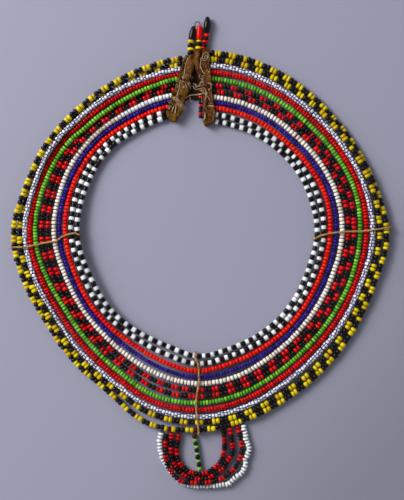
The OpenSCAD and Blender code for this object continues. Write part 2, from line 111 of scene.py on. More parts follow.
TIE_STEPS = 5
TIE_SIDE = 1.2
START_ANGLE = 98
FINISH_ANGLE = 445
CLOSING_STEPS = 6

# Edges of the hide ends, from the top down, as [y, x]
LEFT_END_OUTER = [
    [99.2, -6.9], [91.7, -9.7], [85.4, -11.6], [79.1, -13.5], [75.6, -15.2], [68, -17.3], [64.9, -17],
]
LEFT_END_INNER = [
    [99.2, -2], [94.5, -1.9], [89.9, -2.9], [84.8, -4.7], [80.7, -4.4], [77.6, -5.6], [75.2, -7.2],
    [72.8, -7.3], [67.8, -8.8], [63, -12], [62.9, -14.6],
]
RIGHT_END_OUTER = [
    [102.1, 6.1], [101.2, 6.4], [94.9, 6.1], [88.6, 6.7], [82.3, 7.3], [76, 8], [68, 9.2], [63.3, 8.9],
]
RIGHT_END_INNER = [
    [102.1, -1.5], [98, -1.5], [94.9, -1.2], [91.7, -0.2], [87.3, 0.1], [84.8, 1.3], [79, 1.6],
    [77, 2.8], [69.6, 2.8], [62.6, 2.7], [60.5, 3.6], [61, 6.6],
]

# Upper pass of each tie, from the inner rim outwards
TIE_LEFT = [
    [-65.6, 0.6], [-67.4, 1.5], [-73.3, 0.1], [-76.2, -1.7], [-78.2, -2.9], [-85.5, -4.1],
    [-93.9, -6], [-101, -6.3],
]
TIE_BOTTOM = [
    [-1.7, -65.4], [-0.8, -68.5], [0.2, -71.7], [0.4, -80.6], [-0.8, -87.7], [-1, -94.9],
    [-0.2, -102.6], [0.2, -106.8],
]
TIE_RIGHT = [
    [64.4, -1.4], [66.3, -0.3], [69.7, 0.7], [75.8, 1.8], [82.3, 2.3], [88.9, 2.5], [95.4, 3.1],
    [98.9, 3.7], [101, 4], [104, 4.6],
]

# Routes of the pendant's strands
PENDANT_Z = 1.45
OVER_Z = 3.75
PENDANT_BEAD_D = 3.05
# The wire goes on past the beads and down under strand 12
WIRE_TAIL = 2.2
WIRE_TAIL_Z = 0.35
# The white strand is drawn a little further in at the lower left, where it lies under the
# outer one, which is drawn a little further out
PENDANT_WHITE = [
    [-20.4, -108.9], [-21, -112.4], [-20.9, -116.7], [-20.1, -120.8], [-18.5, -124.3],
    [-15.3, -128.8], [-12, -132.8], [-8.2, -136.2], [-2.1, -137.5], [3.6, -137.5], [8.6, -137.6],
    [15.6, -136.9], [18.3, -135.2], [21, -132.5], [24.6, -130], [26, -126.3], [26.2, -122.5],
    [27.4, -119.7], [28.3, -117.4], [27.4, -114.7], [26.6, -112.4], [26, -109.3], [25.3, -106.4],
]
PENDANT_OUTER = [
    [-17.7, -109.9], [-18, -114.3], [-17.9, -118.2], [-17.7, -122.2], [-16.9, -125.9], [-15, -129],
    [-12.6, -132.2], [-9.8, -134.4], [-5.6, -135.3], [-2.1, -135.6], [2.1, -135.6], [5.9, -135.4],
    [9.4, -134.7], [13.3, -133.8], [16, -131.7], [18.7, -129.8], [21, -126.7], [22.9, -123.3],
    [24, -119.4], [24, -114.7], [23.2, -110.9], [22.3, -107.4],
]
# How far up each point of the outer one lies, as a share of the climb over the white one
OUTER_CLIMB = [0, 0, 0.2, 0.8] + [1] * 7 + [0.8, 0.2] + [0] * 9
PENDANT_MIDDLE = [
    [-14.5, -109.6], [-14.7, -113.6], [-14.8, -117], [-14.7, -120.9], [-13.9, -124.4],
    [-12.2, -127.5], [-9.1, -130.6], [-5.6, -132.9], [-1.8, -134], [2.1, -134], [6.3, -133.3],
    [9.6, -130.8], [13.5, -128.6], [15.7, -125], [17.5, -122.5], [19.1, -119.4], [18.8, -114.7],
    [18.3, -110.5], [17.7, -107.2],
]
PENDANT_INNER = [
    [-10.5, -109.8], [-11.2, -113.6], [-11.7, -117.4], [-11.6, -120.9], [-10.4, -124.6],
    [-7.7, -127.9], [-4.7, -129.9], [-0.6, -131], [3.2, -130.9], [7.2, -129], [10.7, -126.4],
    [12.9, -123.4], [14.1, -119.7], [14.6, -115.5], [14.5, -111.7], [14.1, -108.7],
]
PENDANT_CENTRE = [[-2.1, -109.9], [-0.9, -116.8], [0.1, -123.2], [1, -129]]

# Routes of the fastening's strings, from the hide end outwards
STRING_LEFT = [[-4.5, 96.4], [-4.2, 99.6], [-4, 104.1], [-3.7, 107.9], [-2.3, 115.6]]
STRING_MIDDLE = [[1.2, 99], [0.1, 102.5], [0.3, 105.1], [0.6, 107.9], [1, 115.6]]
STRING_RIGHT = [[2.7, 99], [2.6, 102.5], [3.8, 106.2], [4.8, 111.5], [5.3, 120.8]]
STRING_INNER = [[1.35, 77.2], [1.3, 70.8], [1.4, 64.6]]
STRING_Z = 1.9

# The wire loop above the left and middle strings
LOOP_X = -0.35
LOOP_Y = 116.5
LOOP_R = 1.4
LOOP_WIRE_R = 0.28
LOOP_TWIST = 0.3
LOOP_LEFT = (-2.4, 115)
LOOP_LEFT_BEND = (-1.9, 115.5)
LOOP_RIGHT = (0.97, 115)
LOOP_RIGHT_BEND = (0.85, 115.7)

# Turned end beads: share of the length and share of the radius
END_BORE_R = 0.45
TURNED_SIDES = 32
DROP = [[0, 0.75], [0.08, 0.93], [0.3, 1], [0.6, 0.94], [0.85, 0.74], [0.97, 0.5], [1, 0.4]]
BARREL = [[0, 0.7], [0.08, 0.88], [0.25, 0.98], [0.5, 1], [0.75, 0.98], [0.92, 0.88], [1, 0.7]]
SPINDLE = [[0, 0.5], [0.12, 0.74], [0.32, 0.96], [0.5, 1], [0.68, 0.94], [0.88, 0.68], [1, 0.42]]

# Bead sections, as rings of (share of the length, share of the diameter), bore included
ROUND = np.array([
    (-.38, .16), (-.5, .24), (-.45, .38), (-.24, .49), (.24, .49), (.45, .38), (.5, .24), (.38, .16),
])
BALL = np.array([
    (-.35, .15), (-.49, .24), (-.43, .38), (-.17, .5), (.17, .5), (.43, .38), (.49, .24), (.35, .15),
])
CUT = np.array([
    (-.47, .2), (-.5, .40), (-.46, .47), (-.3, .5), (.3, .5), (.46, .47), (.5, .40), (.47, .2),
])
# The strands, counted from 0, whose beads are rounder than the others', those whose beads are
# short cut tubes, and the two whose beads sit closest
ROUNDER = (5, 6, 10, 11)
SQUARER = (0, 1)
OUTERMOST = (10, 11)
BEAD_SIDES = 14
# How far each strand's beads bulge past the solid's sleeve
BULGE = [1.08, 1.08, 1.08, 1.08, 1.08, 1.1, 1.1, 1.0, 1.22, 1.12, 1, 1]
# and how much wider the beads of some strands, counted from 0, are in each stretch
OUTER_BULGE = [1.08, 1.12, 1.03, 1.06, 1.1]
STRETCH_BULGE = {
    7: [0.92, 0.96, 1, 1, 1], 9: [1.04, 1, 1.02, 1.1, 1.08], 10: OUTER_BULGE, 11: OUTER_BULGE,
}
# Where along a stretch its beads' drift from an even spacing is given
DRIFT_SHARES = (0.1, 0.3, 0.5, 0.7, 0.9)
EVEN = (0, 0, 0, 0, 0)
# The sides of a striped bead that are blue
STRIPES = (0, 3, 7, 10)
# A bead's direction is taken from its wire this far ahead of and behind its middle
AHEAD = 0.6
# Points between two given ones on a smooth path
CURVE_STEPS = 12


def unit(v):
    return v / np.linalg.norm(v, axis=-1, keepdims=True)


def mix(a, b, share):
    return a + (b - a) * share


def hermite(p0, p1, p2, p3, t):
    return 0.5 * (2 * p1 + (p2 - p0) * t + (2 * p0 - 5 * p1 + 4 * p2 - p3) * t * t
                  + (3 * p1 - p0 - 3 * p2 + p3) * t * t * t)


def run_along(path):
    """How far along the path each of its points lies"""
    return np.concatenate([[0], np.cumsum(np.linalg.norm(np.diff(path, axis=0), axis=1))])


def at_lengths(path, lengths):
    run = run_along(path)
    return np.stack([np.interp(lengths, run, path[:, i]) for i in range(path.shape[1])], axis=1)


def smooth_path(points, step, closed=False):
    """Points about step apart on the smooth curve through the given ones"""
    points = np.asarray(points, float)
    n = len(points)
    fine = []
    for i in range(n if closed else n - 1):
        picks = [(i + o) % n if closed else min(n - 1, max(0, i + o)) for o in (-1, 0, 1, 2)]
        for t in np.linspace(0, 1, CURVE_STEPS, endpoint=False):
            fine.append(hermite(*points[picks], t))
    fine = np.array([*fine, points[0] if closed else points[-1]])
    whole = run_along(fine)[-1]
    return at_lengths(fine, np.linspace(0, whole, max(2, int(round(whole / step)) + 1)))


def column(c, a):
    a = np.asarray(a, float)
    most = len(SECTIONS) - 1
    i = np.clip(np.floor((a - SECTIONS[0, 0]) / SECTION_TURN).astype(int), 0, most - 1)
    t = (a - SECTIONS[i, 0]) / SECTION_TURN
    rows = [SECTIONS[np.clip(i + o, 0, most), c] for o in (-1, 0, 1, 2)]
    return hermite(*rows, t)


def strand_r(k, a):
    lower, upper, share = PLACES[k]
    return mix(column(lower, a), column(upper, a), share)


def step_over(k, a):
    """How much higher one of strands k and k + 1 has to lie to pass over the other"""
    side = strand_r(k + 1, a) - strand_r(k, a)
    reach = (BEAD_D[k] + BEAD_D[k + 1]) / 2 + PASS_GAP
    return STEEPNESS * np.sqrt(np.maximum(0, reach * reach - side * side))


def strand_rise(k, a):
    """Strands 6, 8 and 10 ride over their neighbours, and so does one of 11 and 12: the outer
    one up to their crossing and the inner one beyond it"""
    over = np.clip((SWAP_ANGLE + SWAP_TURN / 2 - a) / SWAP_TURN, 0, 1)
    if k in (5, 7, 9):
        return np.maximum(step_over(k - 1, a), step_over(k, a))
    if k == 10:
        return (1 - over) * step_over(10, a)
    if k == 11:
        return over * step_over(10, a)
    return 0 * a


def bump(x, reach):
    return np.where(np.abs(x) < reach, np.cos(np.radians(90 * x / reach)) ** 2, 0)


def strand_z(k, a):
    band = GROUND_Z + TIE_RISE * np.max([bump(a - t, TIE_REACH) for t in TIE_ANGLES], axis=0)
    return band + strand_rise(k, a) + column(LIFT, a) * max(0, 1 - k / LIFTED_STRANDS)


def strand_point(k, a):
    a = np.asarray(a, float)
    r = strand_r(k, a)
    turn = np.radians(a)
    return np.stack([r * np.cos(turn), r * np.sin(turn), strand_z(k, a)], axis=-1)


def end_angle(k, edge, whole, gap, a):
    """The angle at which strand k meets a hide end"""
    heights, sides = np.array(edge[::-1]).T
    for _ in range(CLOSING_STEPS):
        r = strand_r(k, a)
        x = np.interp(r * math.sin(math.radians(a)), heights, sides) + gap
        a = whole + math.degrees(math.acos(x / r))
    return a


def left_angle(k):
    return end_angle(k, LEFT_END_OUTER, 0, -LEFT_BEAD_GAP, START_ANGLE)


def right_angle(k):
    return end_angle(k, RIGHT_END_OUTER, 360, RIGHT_BEAD_GAP, FINISH_ANGLE)


def spacer_end(s, end, r):
    a = math.radians(SPACERS[s][end])
    return r * np.array([math.cos(a), math.sin(a), 0])


def spacer_along(s):
    return unit(spacer_end(s, 1, SPACER_OUTER_R) - spacer_end(s, 0, SPACER_INNER_R))


def crossing(k, s):
    """The angle at which strand k passes spacer s"""
    through = np.cross(UP, spacer_along(s))
    heading = math.degrees(math.atan2(through[1], through[0]))
    whole = 360 * round((SPACERS[s][0] + 90 - heading) / 360)
    off = spacer_end(s, 0, SPACER_INNER_R) @ through
    a = SPACERS[s][0]
    for _ in range(CLOSING_STEPS):
        a = whole + heading - math.degrees(math.acos(off / strand_r(k, a)))
    return a


def add_object(name, data):
    piece = bpy.data.objects.new(name, data)
    bpy.context.scene.collection.objects.link(piece)
    return piece


class Shell:
    """Points and faces of one mesh, with each face's material and each point's shade"""

    def __init__(self):
        self.points = []
        self.faces = []
        self.looks = []
        self.tones = []
        self.ends = []
        self.count = 0

    def add(self, points, faces, looks=0, tone=0.5, end=0.0):
        n = len(points)
        self.points.append(points)
        self.faces.extend((np.asarray(faces) + self.count).tolist())
        self.looks.append(np.broadcast_to(looks, len(faces)))
        self.tones.append(np.broadcast_to(tone, n))
        self.ends.append(np.broadcast_to(end, n))
        self.count += n

    def close(self, corners):
        """One more face, between points that are there already"""
        self.faces.append(list(corners))
        self.looks.append([0])

    def add_sleeve(self, points, sides, tone=0.5, closed=False, flip=False):
        """Rings of points in a row: the last joined to the first if closed, else with flat ends"""
        first = self.count
        faces = grid_faces(len(points) // sides, sides, closed)
        self.add(points, faces[:, ::-1] if flip else faces, tone=tone)
        if not closed:
            last = self.count - sides
            self.close(range(first, first + sides)[::1 if flip else -1])
            self.close(range(last, last + sides)[::-1 if flip else 1])

    def make(self, name, materials, slot, nodes=()):
        """Makes the piece, riding on the body and standing for the given nodes"""
        mesh = bpy.data.meshes.new(name)
        mesh.from_pydata((np.concatenate(self.points) * MM).tolist(), [], self.faces)
        for material in materials:
            mesh.materials.append(material)
        mesh.polygons.foreach_set("material_index", np.concatenate(self.looks).astype(np.int32))
        mesh.shade_smooth()
        for title, values in (("tone", self.tones), ("end", self.ends)):
            layer = mesh.attributes.new(title, "FLOAT", "POINT")
            layer.data.foreach_set("value", np.concatenate(values).astype(np.float32))
        mesh.update()
        piece = add_object(name, mesh)
        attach(piece, BODY)
        if nodes:
            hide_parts(*nodes)


def grid_faces(rows, sides, closed_rows=False):
    """Faces between rings of points, outside out"""
    i = np.arange(rows if closed_rows else rows - 1)[:, None]
    j = (i + 1) % rows
    s = np.arange(sides)[None, :]
    n = (s + 1) % sides
    quads = np.stack([i * sides + s, i * sides + n, j * sides + n, j * sides + s], axis=-1)
    return quads.reshape(-1, 4)


def full_turn(count):
    return np.linspace(0, 2 * np.pi, count, endpoint=False)


def square_to(ways, up=UP):
    """Two directions square to the way of travel and to each other"""
    u = unit(np.cross(np.broadcast_to(up, ways.shape), ways))
    return u, np.cross(ways, u)


def rings(centres, ways, radii, sides, up=UP, turns=0.0):
    """Rings of points square to the way of travel"""
    u, v = square_to(ways, up)
    angle = full_turn(sides)[None, :, None] + np.reshape(turns, (-1, 1, 1))
    radii = np.broadcast_to(radii, len(centres))[:, None, None]
    spread = np.cos(angle) * u[:, None, :] + np.sin(angle) * v[:, None, :]
    return (centres[:, None, :] + radii * spread).reshape(-1, 3)


def travel(path, closed=False):
    if closed:
        return unit(np.roll(path, -1, axis=0) - np.roll(path, 1, axis=0))
    return unit(np.gradient(path, axis=0))


def lengthened(path, before, after):
    """The path with a straight stretch added at each end"""
    way = travel(path)
    return np.concatenate([[path[0] - before * way[0]], path, [path[-1] + after * way[-1]]])


def add_tube(shell, path, radius, sides=6, up=UP, closed=False, tone=0.5):
    """A tube along a path, with flat ends unless it is closed"""
    shell.add_sleeve(rings(path, travel(path, closed), radius, sides, up), sides, tone, closed)


def scatter(amount, shape, most=2):
    """Random offsets, none beyond so many times their usual amount"""
    return rng.normal(0, amount, shape).clip(-most * amount, most * amount)


def add_beads(shell, centres, ways, lengths, widths, looks, profile):
    """Drilled beads at the centres, each a closed ring section turned about its own axis"""
    n = len(centres)
    rows = len(profile)
    along = (profile[:, 0] * lengths[:, None])[..., None] * ways[:, None, :]
    middles = (centres[:, None, :] + along).reshape(-1, 3)
    radii = (profile[:, 1] * widths[:, None]).reshape(-1)
    turns = np.repeat(rng.uniform(0, 2 * np.pi, n), rows)
    points = rings(middles, np.repeat(ways, rows, axis=0), radii, BEAD_SIDES, turns=turns)
    starts = np.arange(n)[:, None, None] * rows * BEAD_SIDES
    faces = (grid_faces(rows, BEAD_SIDES, True) + starts).reshape(-1, 4)
    looks = np.broadcast_to(np.reshape(looks, (n, 1, -1)), (n, rows, BEAD_SIDES)).reshape(-1)
    tone = np.repeat(rng.uniform(0, 1, n), rows * BEAD_SIDES)
    # How near each point lies to its bead's drilled ends, where painted shade falls between the beads
    end = np.tile(np.repeat(np.abs(profile[:, 0]) * 2, BEAD_SIDES), n)
    shell.add(points, faces, looks, tone, end)


def string_beads(shell, path, looks, width, profile, fill=0.95, spread=0.09, stray=0.08, lean=0.05,
                 drift=EVEN, sizes=1.0):
    """Beads threaded along a path from end to end, each a little off in size, place and lean"""
    whole = run_along(path)[-1]
    n = len(looks)
    share = 1 + scatter(spread, n, 2.2)
    edges = np.linspace(0, whole, n + 1)
    edges += np.interp(edges / whole, (0, *DRIFT_SHARES, 1), (0, *drift, 0))
    share = share * np.diff(edges) * sizes
    edges = np.concatenate([[0], np.cumsum(share)]) * whole / share.sum()
    middles = (edges[1:] + edges[:-1]) / 2
    ahead = at_lengths(path, np.minimum(middles + AHEAD, whole))
    behind = at_lengths(path, np.maximum(middles - AHEAD, 0))
    ways = unit(ahead - behind)
    shift = scatter(stray, (n, 3))
    shift -= (shift * ways).sum(axis=1, keepdims=True) * ways
    ways = unit(ways + scatter(lean, (n, 3)))
    widths = width * (1 + scatter(spread / 2, n)) * np.sqrt(sizes)
    centres = at_lengths(path, middles) + shift
    add_beads(shell, centres, ways, np.diff(edges) * fill, widths, looks, profile)


# Materials
def shade(value):
    """A colour of three numbers is one from 0 to 255, as a screen shows it"""
    if isinstance(value, tuple) and len(value) == 3:
        return tuple(((c / 255 + 0.055) / 1.055) ** 2.4 if c > 10 else c / 3294.6
                     for c in value) + (1.0,)
    return value


class Paint:
    """The nodes of a material or a world, with short ways to add and join them"""

    def __init__(self, owner):
        owner.use_nodes = True
        self.owner = owner
        self.tree = owner.node_tree

    def node(self, kind, inputs):
        node = self.tree.nodes.new("ShaderNode" + kind)
        self.fill(node, inputs)
        return node

    def fill(self, node, inputs):
        """Gives each named input a plain value or joins it to a socket"""
        for title, value in inputs.items():
            if isinstance(value, bpy.types.NodeSocket):
                self.tree.links.new(value, node.inputs[title])
            else:
                node.inputs[title].default_value = value

    def noise(self, scale, detail=3.0, rough=0.55, stretch=None):
        """Noise in the object's own coordinates, per metre"""
        place = self.node("TexCoord", {}).outputs["Object"]
        if stretch:
            place = self.node("Mapping", {"Vector": place, "Scale": stretch}).outputs["Vector"]
        inputs = {"Vector": place, "Scale": scale, "Detail": detail, "Roughness": rough}
        return self.node("TexNoise", inputs).outputs["Fac"]

    def own(self, name):
        """A value that the shell gives each of its points"""
        node = self.node("Attribute", {})
        node.attribute_name = name
        return node.outputs["Fac"]

    def span(self, value, *limits):
        """Stretches the value from its first two limits to the other two, or to 0 and 1"""
        titles = ("Value", "From Min", "From Max", "To Min", "To Max")
        return self.node("MapRange", dict(zip(titles, (value, *limits)))).outputs["Result"]

    def ramp(self, value, *stops):
        node = self.node("ValToRGB", {"Fac": value})
        elements = node.color_ramp.elements
        while len(elements) < len(stops):
            elements.new(0.5)
        for element, (place, colour) in zip(elements, stops):
            element.position = place
            element.color = shade(colour)
        return node.outputs["Color"]

    def mix(self, share, first, second):
        node = self.node("Mix", {})
        node.data_type = "RGBA"
        self.fill(node, {0: share, 6: shade(first), 7: shade(second)})
        return node.outputs[2]

    def finish(self, colour, rough, height, strength, distance, more):
        """Joins everything to the shader, with a bumpy surface, and gives back the material"""
        bumps = {"Height": height, "Strength": strength, "Distance": distance}
        normal = self.node("Bump", bumps).outputs["Normal"]
        inputs = {"Base Color": colour, "Roughness": rough, "Normal": normal, **more}
        self.fill(self.tree.nodes["Principled BSDF"], inputs)
        return self.owner


def bead_material(name, dark, base, light, hole, rough=(0.12, 0.22), specular=0.16):
    """Glass that differs a little from bead to bead, with painted shade, tinted like the glass,
    towards its drilled ends, where it meets its neighbours"""
    paint = Paint(bpy.data.materials.new("bead_" + name))
    colour = paint.ramp(paint.own("tone"), (0.0, dark), (0.45, base), (1.0, light))
    # Painted shade between neighbouring beads: towards the drilled ends the colour turns to the hole
    # colour
    colour = paint.mix(paint.span(paint.own("end"), 0.6, 1.0, 0.0, 0.9), colour, hole)
    cloud = paint.noise(900)
    colour = paint.mix(paint.span(cloud, 0.3, 0.75, 0.0, 0.22), colour, dark)
    pits = paint.noise(2600, 2.0)
    return paint.finish(colour, paint.span(cloud, 0.3, 0.7, *rough), pits, 0.25, 0.00012,
                        {"Specular IOR Level": specular})


# The beads' glass: its darkest, usual and lightest shade, and the painted shade, tinted like the
# glass, where neighbouring beads meet at their drilled ends
GLASS = {
    "white": [(206, 210, 214), (232, 236, 240), (248, 250, 252), (128, 120, 122)],
    "orange": [(206, 6, 2), (243, 12, 3), (252, 44, 8), (160, 4, 3)],
    "blue": [(26, 12, 94), (40, 20, 132), (64, 42, 164), (12, 4, 48)],
    "cream": [(206, 196, 184), (238, 231, 222), (250, 246, 238), (138, 100, 90)],
    "red": [(168, 3, 10), (206, 6, 14), (228, 22, 22), (84, 1, 6)],
    "green": [(68, 140, 26), (103, 183, 46), (144, 212, 72), (28, 80, 14)],
    "dark_red": [(162, 1, 4), (209, 2, 6), (232, 14, 12), (92, 1, 5)],
    "crimson": [(146, 1, 8), (184, 4, 14), (208, 20, 24), (70, 1, 6)],
    "striped_white": [(204, 206, 220), (236, 237, 246), (252, 252, 254), (96, 94, 122)],
    "stripe_blue": [(30, 20, 126), (44, 31, 150), (62, 50, 176), (20, 14, 74)],
    "yellow": [(190, 158, 3), (210, 188, 5), (230, 212, 26), (166, 92, 2)],
    "scarlet": [(170, 4, 4), (212, 10, 8), (236, 34, 18), (96, 6, 6)],
    "wine": [(56, 8, 12), (80, 13, 16), (108, 22, 24), (34, 5, 7)],
}
BEADS = {name: bead_material(name, *shades) for name, shades in GLASS.items()}
BEADS["black"] = bead_material("black", (4, 2, 3), (8, 4, 7), (20, 11, 20), (8, 3, 4), (0.03, 0.08), 0.32)


def wire_material():
    paint = Paint(bpy.data.materials.new("strung_wire"))
    stain = paint.noise(420)
    colour = paint.ramp(stain, (0.3, (52, 44, 38)), (0.6, (112, 100, 90)), (0.75, (96, 62, 40)))
    return paint.finish(colour, paint.span(stain, 0.3, 0.7, 0.35, 0.6), stain, 0.3, 0.00008,
                        {"Metallic": 0.8})


def hide_material(name, deep, mid, warm, rim, pale, grain=0.0004):
    """Old hide: mottled and streaked, with paler worn rims and dark pores, and darkened by its points'
    tone: dark stains, and painted shade in its creases, in its seam's groove and beyond the seam
    """
    paint = Paint(bpy.data.materials.new(name))
    streaks = paint.noise(1.0, 5.0, 0.65, (620, 230, 500))
    mottle = paint.noise(210, 3.0, 0.6)
    flecks = paint.noise(1300, 4.0, 0.7)
    worn = paint.own("end")
    tone = paint.own("tone")
    colour = paint.ramp(streaks, (0.36, deep), (0.47, mid), (0.58, warm), (0.68, mid))
    # The tone darkens the hide with stains and with painted shade in creases and the seam's groove
    for value, *limits, over in (
            (mottle, 0.5, 0.62, 0.0, 0.75, rim), (worn, 0.2, 0.9, 0.0, 0.8, rim),
            (tone, 0.1, 0.9, 0.0, 0.85, deep), (tone, -0.1, -0.9, 0.0, 0.7, pale),
            (flecks, 0.38, 0.52, 0.7, 0.0, deep), (flecks, 0.54, 0.66, 0.0, 0.3, pale)):
        colour = paint.mix(paint.span(value, *limits), colour, over)
    return paint.finish(colour, paint.span(flecks, 0.3, 0.7, 0.4, 0.75), flecks, 0.8, grain,
                        {"Specular IOR Level": 0.08})


def fibre_material(name, dark, base, light):
    """Twisted fibre or thong: streaks of lighter and darker strands"""
    paint = Paint(bpy.data.materials.new(name))
    streak = paint.noise(700, 4.0, 0.6)
    colour = paint.ramp(streak, (0.3, dark), (0.5, base), (0.7, light))
    colour = paint.mix(paint.span(paint.own("tone"), 0.0, 1.0, 0.0, 0.45), colour, light)
    return paint.finish(colour, paint.span(streak, 0.3, 0.7, 0.45, 0.75), streak, 0.5, 0.0002, {})


WIRE = wire_material()
HIDE_LEFT = hide_material("hide_olive", (24, 12, 4), (98, 58, 19), (122, 77, 36), (124, 88, 5),
                          (142, 97, 60))
HIDE_RIGHT = hide_material("hide_russet", (26, 10, 3), (90, 46, 19), (112, 62, 31), (114, 75, 9),
                           (138, 90, 56))
# The colours of the sheet of painted shadow between the hide ends
PAINTED_SHADOW = hide_material("hide_shadowed", (20, 13, 14), (52, 38, 38), (70, 54, 50),
                           (64, 50, 36), (92, 74, 66))
SPACER_HIDE = hide_material("hide_spacer", (26, 14, 8), (58, 33, 18), (88, 52, 28), (90, 60, 30),
                            (110, 76, 46), 0.0002)
THONG = fibre_material("thong_twisted", (70, 44, 18), (144, 106, 54), (202, 166, 104))
FIBRE = fibre_material("stitch_fibre", (100, 72, 48), (164, 134, 100), (206, 182, 146))

# Strands of beads: slot, materials and, where no runs are given, how far apart the beads are
STRANDS = [
    ("beads_rim", ["white", "black"], 0), ("beads_rim", ["white", "black"], 0),
    ("beads_orange", ["orange"], 2.0), ("beads_blue", ["blue"], 1.75),
    ("beads_cream", ["cream", "white"], 2.0), ("beads_red", ["red", "black"], 0),
    ("beads_red", ["red", "black"], 0), ("beads_green", ["green"], 1.75),
    ("beads_dark_red", ["dark_red"], 1.7), ("beads_striped", ["striped_white", "stripe_blue"], 1.75),
    ("beads_yellow", ["yellow", "black"], 0), ("beads_yellow", ["yellow", "black", "wine"], 0),
]
STRIPED = 9
# The strand and stretch that begins with white beads, and how many
WHITE_STRETCH = (4, 0)
WHITE_BEADS = 15
# How full of bead its spacing is, and how uneven in size and place, in the two outermost
# strands and in the others
OUTER_THREADING = (1.0, 0.11, 0.1)
THREADING = (0.95, 0.07, 0.05)
STRETCH_STEPS = 240
STRAND_STEPS = 260
# How far from a spacer's middle the beads stop
BEADS_FROM_SPACER = 0.2
# Beads are counted for a slightly shorter stretch and then spread to its whole length
COUNT_SPARE = 0.14
# How far the first beads of each strand reach past their solid, to the fold of the left end
LEFT_TUCK = [1.3] * 11 + [0]
# How far each strand is pressed inwards and lifted at the upper left, and all of them at the left
PRESSED = [(0.1, 0), (0.1, 0), (0.4, 0), (0.35, 0), (0, 0.5), (0, 0), (0, 0), (1.0, 0.7),
           (0.5, 1.0), (0.45, 0), (0.3, 0), (0.2, 0)]
PRESSED_FROM = 99
PRESSED_TO = 143
PRESSED_EASE = 7
LEFT_PRESSED = (0.45, 0)
LEFT_FROM = 147
LEFT_TO = 218
LEFT_EASE = 18

# Beads in a run of the strands, counted from 0, where it isn't 2
RUN_SIZE = {0: 1, 1: 1}
# Each patterned strand between the hide ends and the spacers: how many beads, whether it
# starts light, and the runs, counted from 1, that have another number of beads than usual
RUNS = {
    0: [(18, False, {13: 2}), (38, False, {17: 2}), (38, True, {}),
        (40, True, {5: 2, 18: 2}), (18, False, {})],
    1: [(20, False, {}), (40, False, {17: 2}), (41, False, {}),
        (43, True, {1: 2, 20: 2}), (18, False, {})],
    5: [(32, True, {1: 1}), (55, True, {1: 1}), (58, True, {12: 1}), (57, False, {}),
        (24, False, {1: 1})],
    6: [(34, False, {}), (57, True, {}), (58, True, {1: 1, 13: 4}),
        (61, True, {1: 1, 2: 3, 15: 5, 18: 1, 28: 1, 29: 1, 30: 3}), (27, True, {})],
    10: [(39, False, {1: 1, 7: 1, 15: 1}), (67, True, {8: 1, 16: 3}),
         (66, False, {1: 1}), (69, True, {1: 1, 29: 1}), (31, False, {1: 1})],
    11: [(41, False, {1: 1}), (68, True, {8: 1}),
         (70, True, {1: 1, 13: 1, 14: 1, 15: 1, 18: 3, 20: 4, 21: 3}),
         (71, False, {6: 1, 18: 3, 23: 1, 24: 1, 28: 3}), (32, False, {12: 1})],
}
# How far the beads of each stretch sit ahead of an even spacing, in mm
DRIFT = {
    0: [(0.6, 0.9, 0.8, 0.1, 0.1), (-1, -1.2, -1.4, -1.1, -0.9),
        (0.5, 1.2, 1.2, 1.4, 0.1), (1.3, 1.5, 2.4, 1.3, 0.7),
        (-1.5, -1.4, -0.9, -0.3, 0.1)],
    1: [(0.6, 1.6, 0.9, 0.1, 0.1), (-1.8, -0.7, -0.6, 0.5, 1.4),
        (-0.1, 1, 0.8, -0.5, -0.5), (0.5, 0.8, 1.7, 1.6, 1.5),
        (-0.4, -0.1, 0.6, 0.9, 1.2)],
    5: [(-0.3, -0.3, -0.1, 1.1, 0.5), (0.2, 0.2, -0.6, 1.8, 2),
        (-0.4, -0.2, -1.2, -2.4, -1.3), (-0.9, -1, -0.7, 0.4, -1.2),
        (-1.2, -0.7, -0.4, -0.7, 0)],
    6: [(1.2, 2.6, 1.9, 1.2, 0.9), (-0.9, -1.5, -0.9, -0.3, 0.6),
        (1.3, 2.6, 2.2, 2.2, 0.7), (-2.3, -0.7, 1.4, 1.6, 1.7),
        (-1, 0, 0, 0.1, 0.2)],
    10: [(1.2, 1.9, 2.9, 3.1, 2.6), (-0.7, -0.6, -0.5, 0.9, 1.5),
        (0.4, 0.1, 0.5, 0.4, 0.7), (0.2, 1.3, 0.7, 0.8, 0),
        (-1.1, 0, 0.2, 0.4, 0.8)],
    11: [(1.4, 1.4, 1, 0.5, 0.2), (-0.2, -0.4, -0.2, 1.3, 1.3),
        (0.2, 0.9, 1.7, 0.5, 0.2), (2.5, 2.4, 2.4, 2, 0.4),
        (-0.3, 0.6, 0.1, -0.1, 0.6)],
}
# Dark red beads among the black ones of strand 12's front stretch, counted from 0
WINE_STRETCH = (11, 2)
WINE_BEADS = [24, 30]


def run_looks(count, light_first, odd, size=2):
    """1 for a light bead and 2 for a dark one, in runs"""
    beads = []
    look = 1 if light_first else 2
    number = 1
    while len(beads) < count:
        beads += [look] * odd.get(number, size)
        look = 3 - look
        number += 1
    return np.array(beads[:count])


def shown_point(k, a):
    """Where strand k's beads lie: at the upper left and left they are pressed to the neck"""
    a = np.asarray(a, float)
    turn = np.radians(a)
    out = np.stack([np.cos(turn), np.sin(turn), 0 * a], axis=-1)
    point = strand_point(k, a)
    for (inward, lift), start, finish, ease in (
            (PRESSED[k], PRESSED_FROM, PRESSED_TO, PRESSED_EASE),
            (LEFT_PRESSED, LEFT_FROM, LEFT_TO, LEFT_EASE)):
        share = np.clip((a - start) / ease, 0, 1) * np.clip((finish - a) / ease, 0, 1)
        share = (share * share * (3 - 2 * share))[..., None]
        point = point + share * (lift * UP - inward * out)
    return point


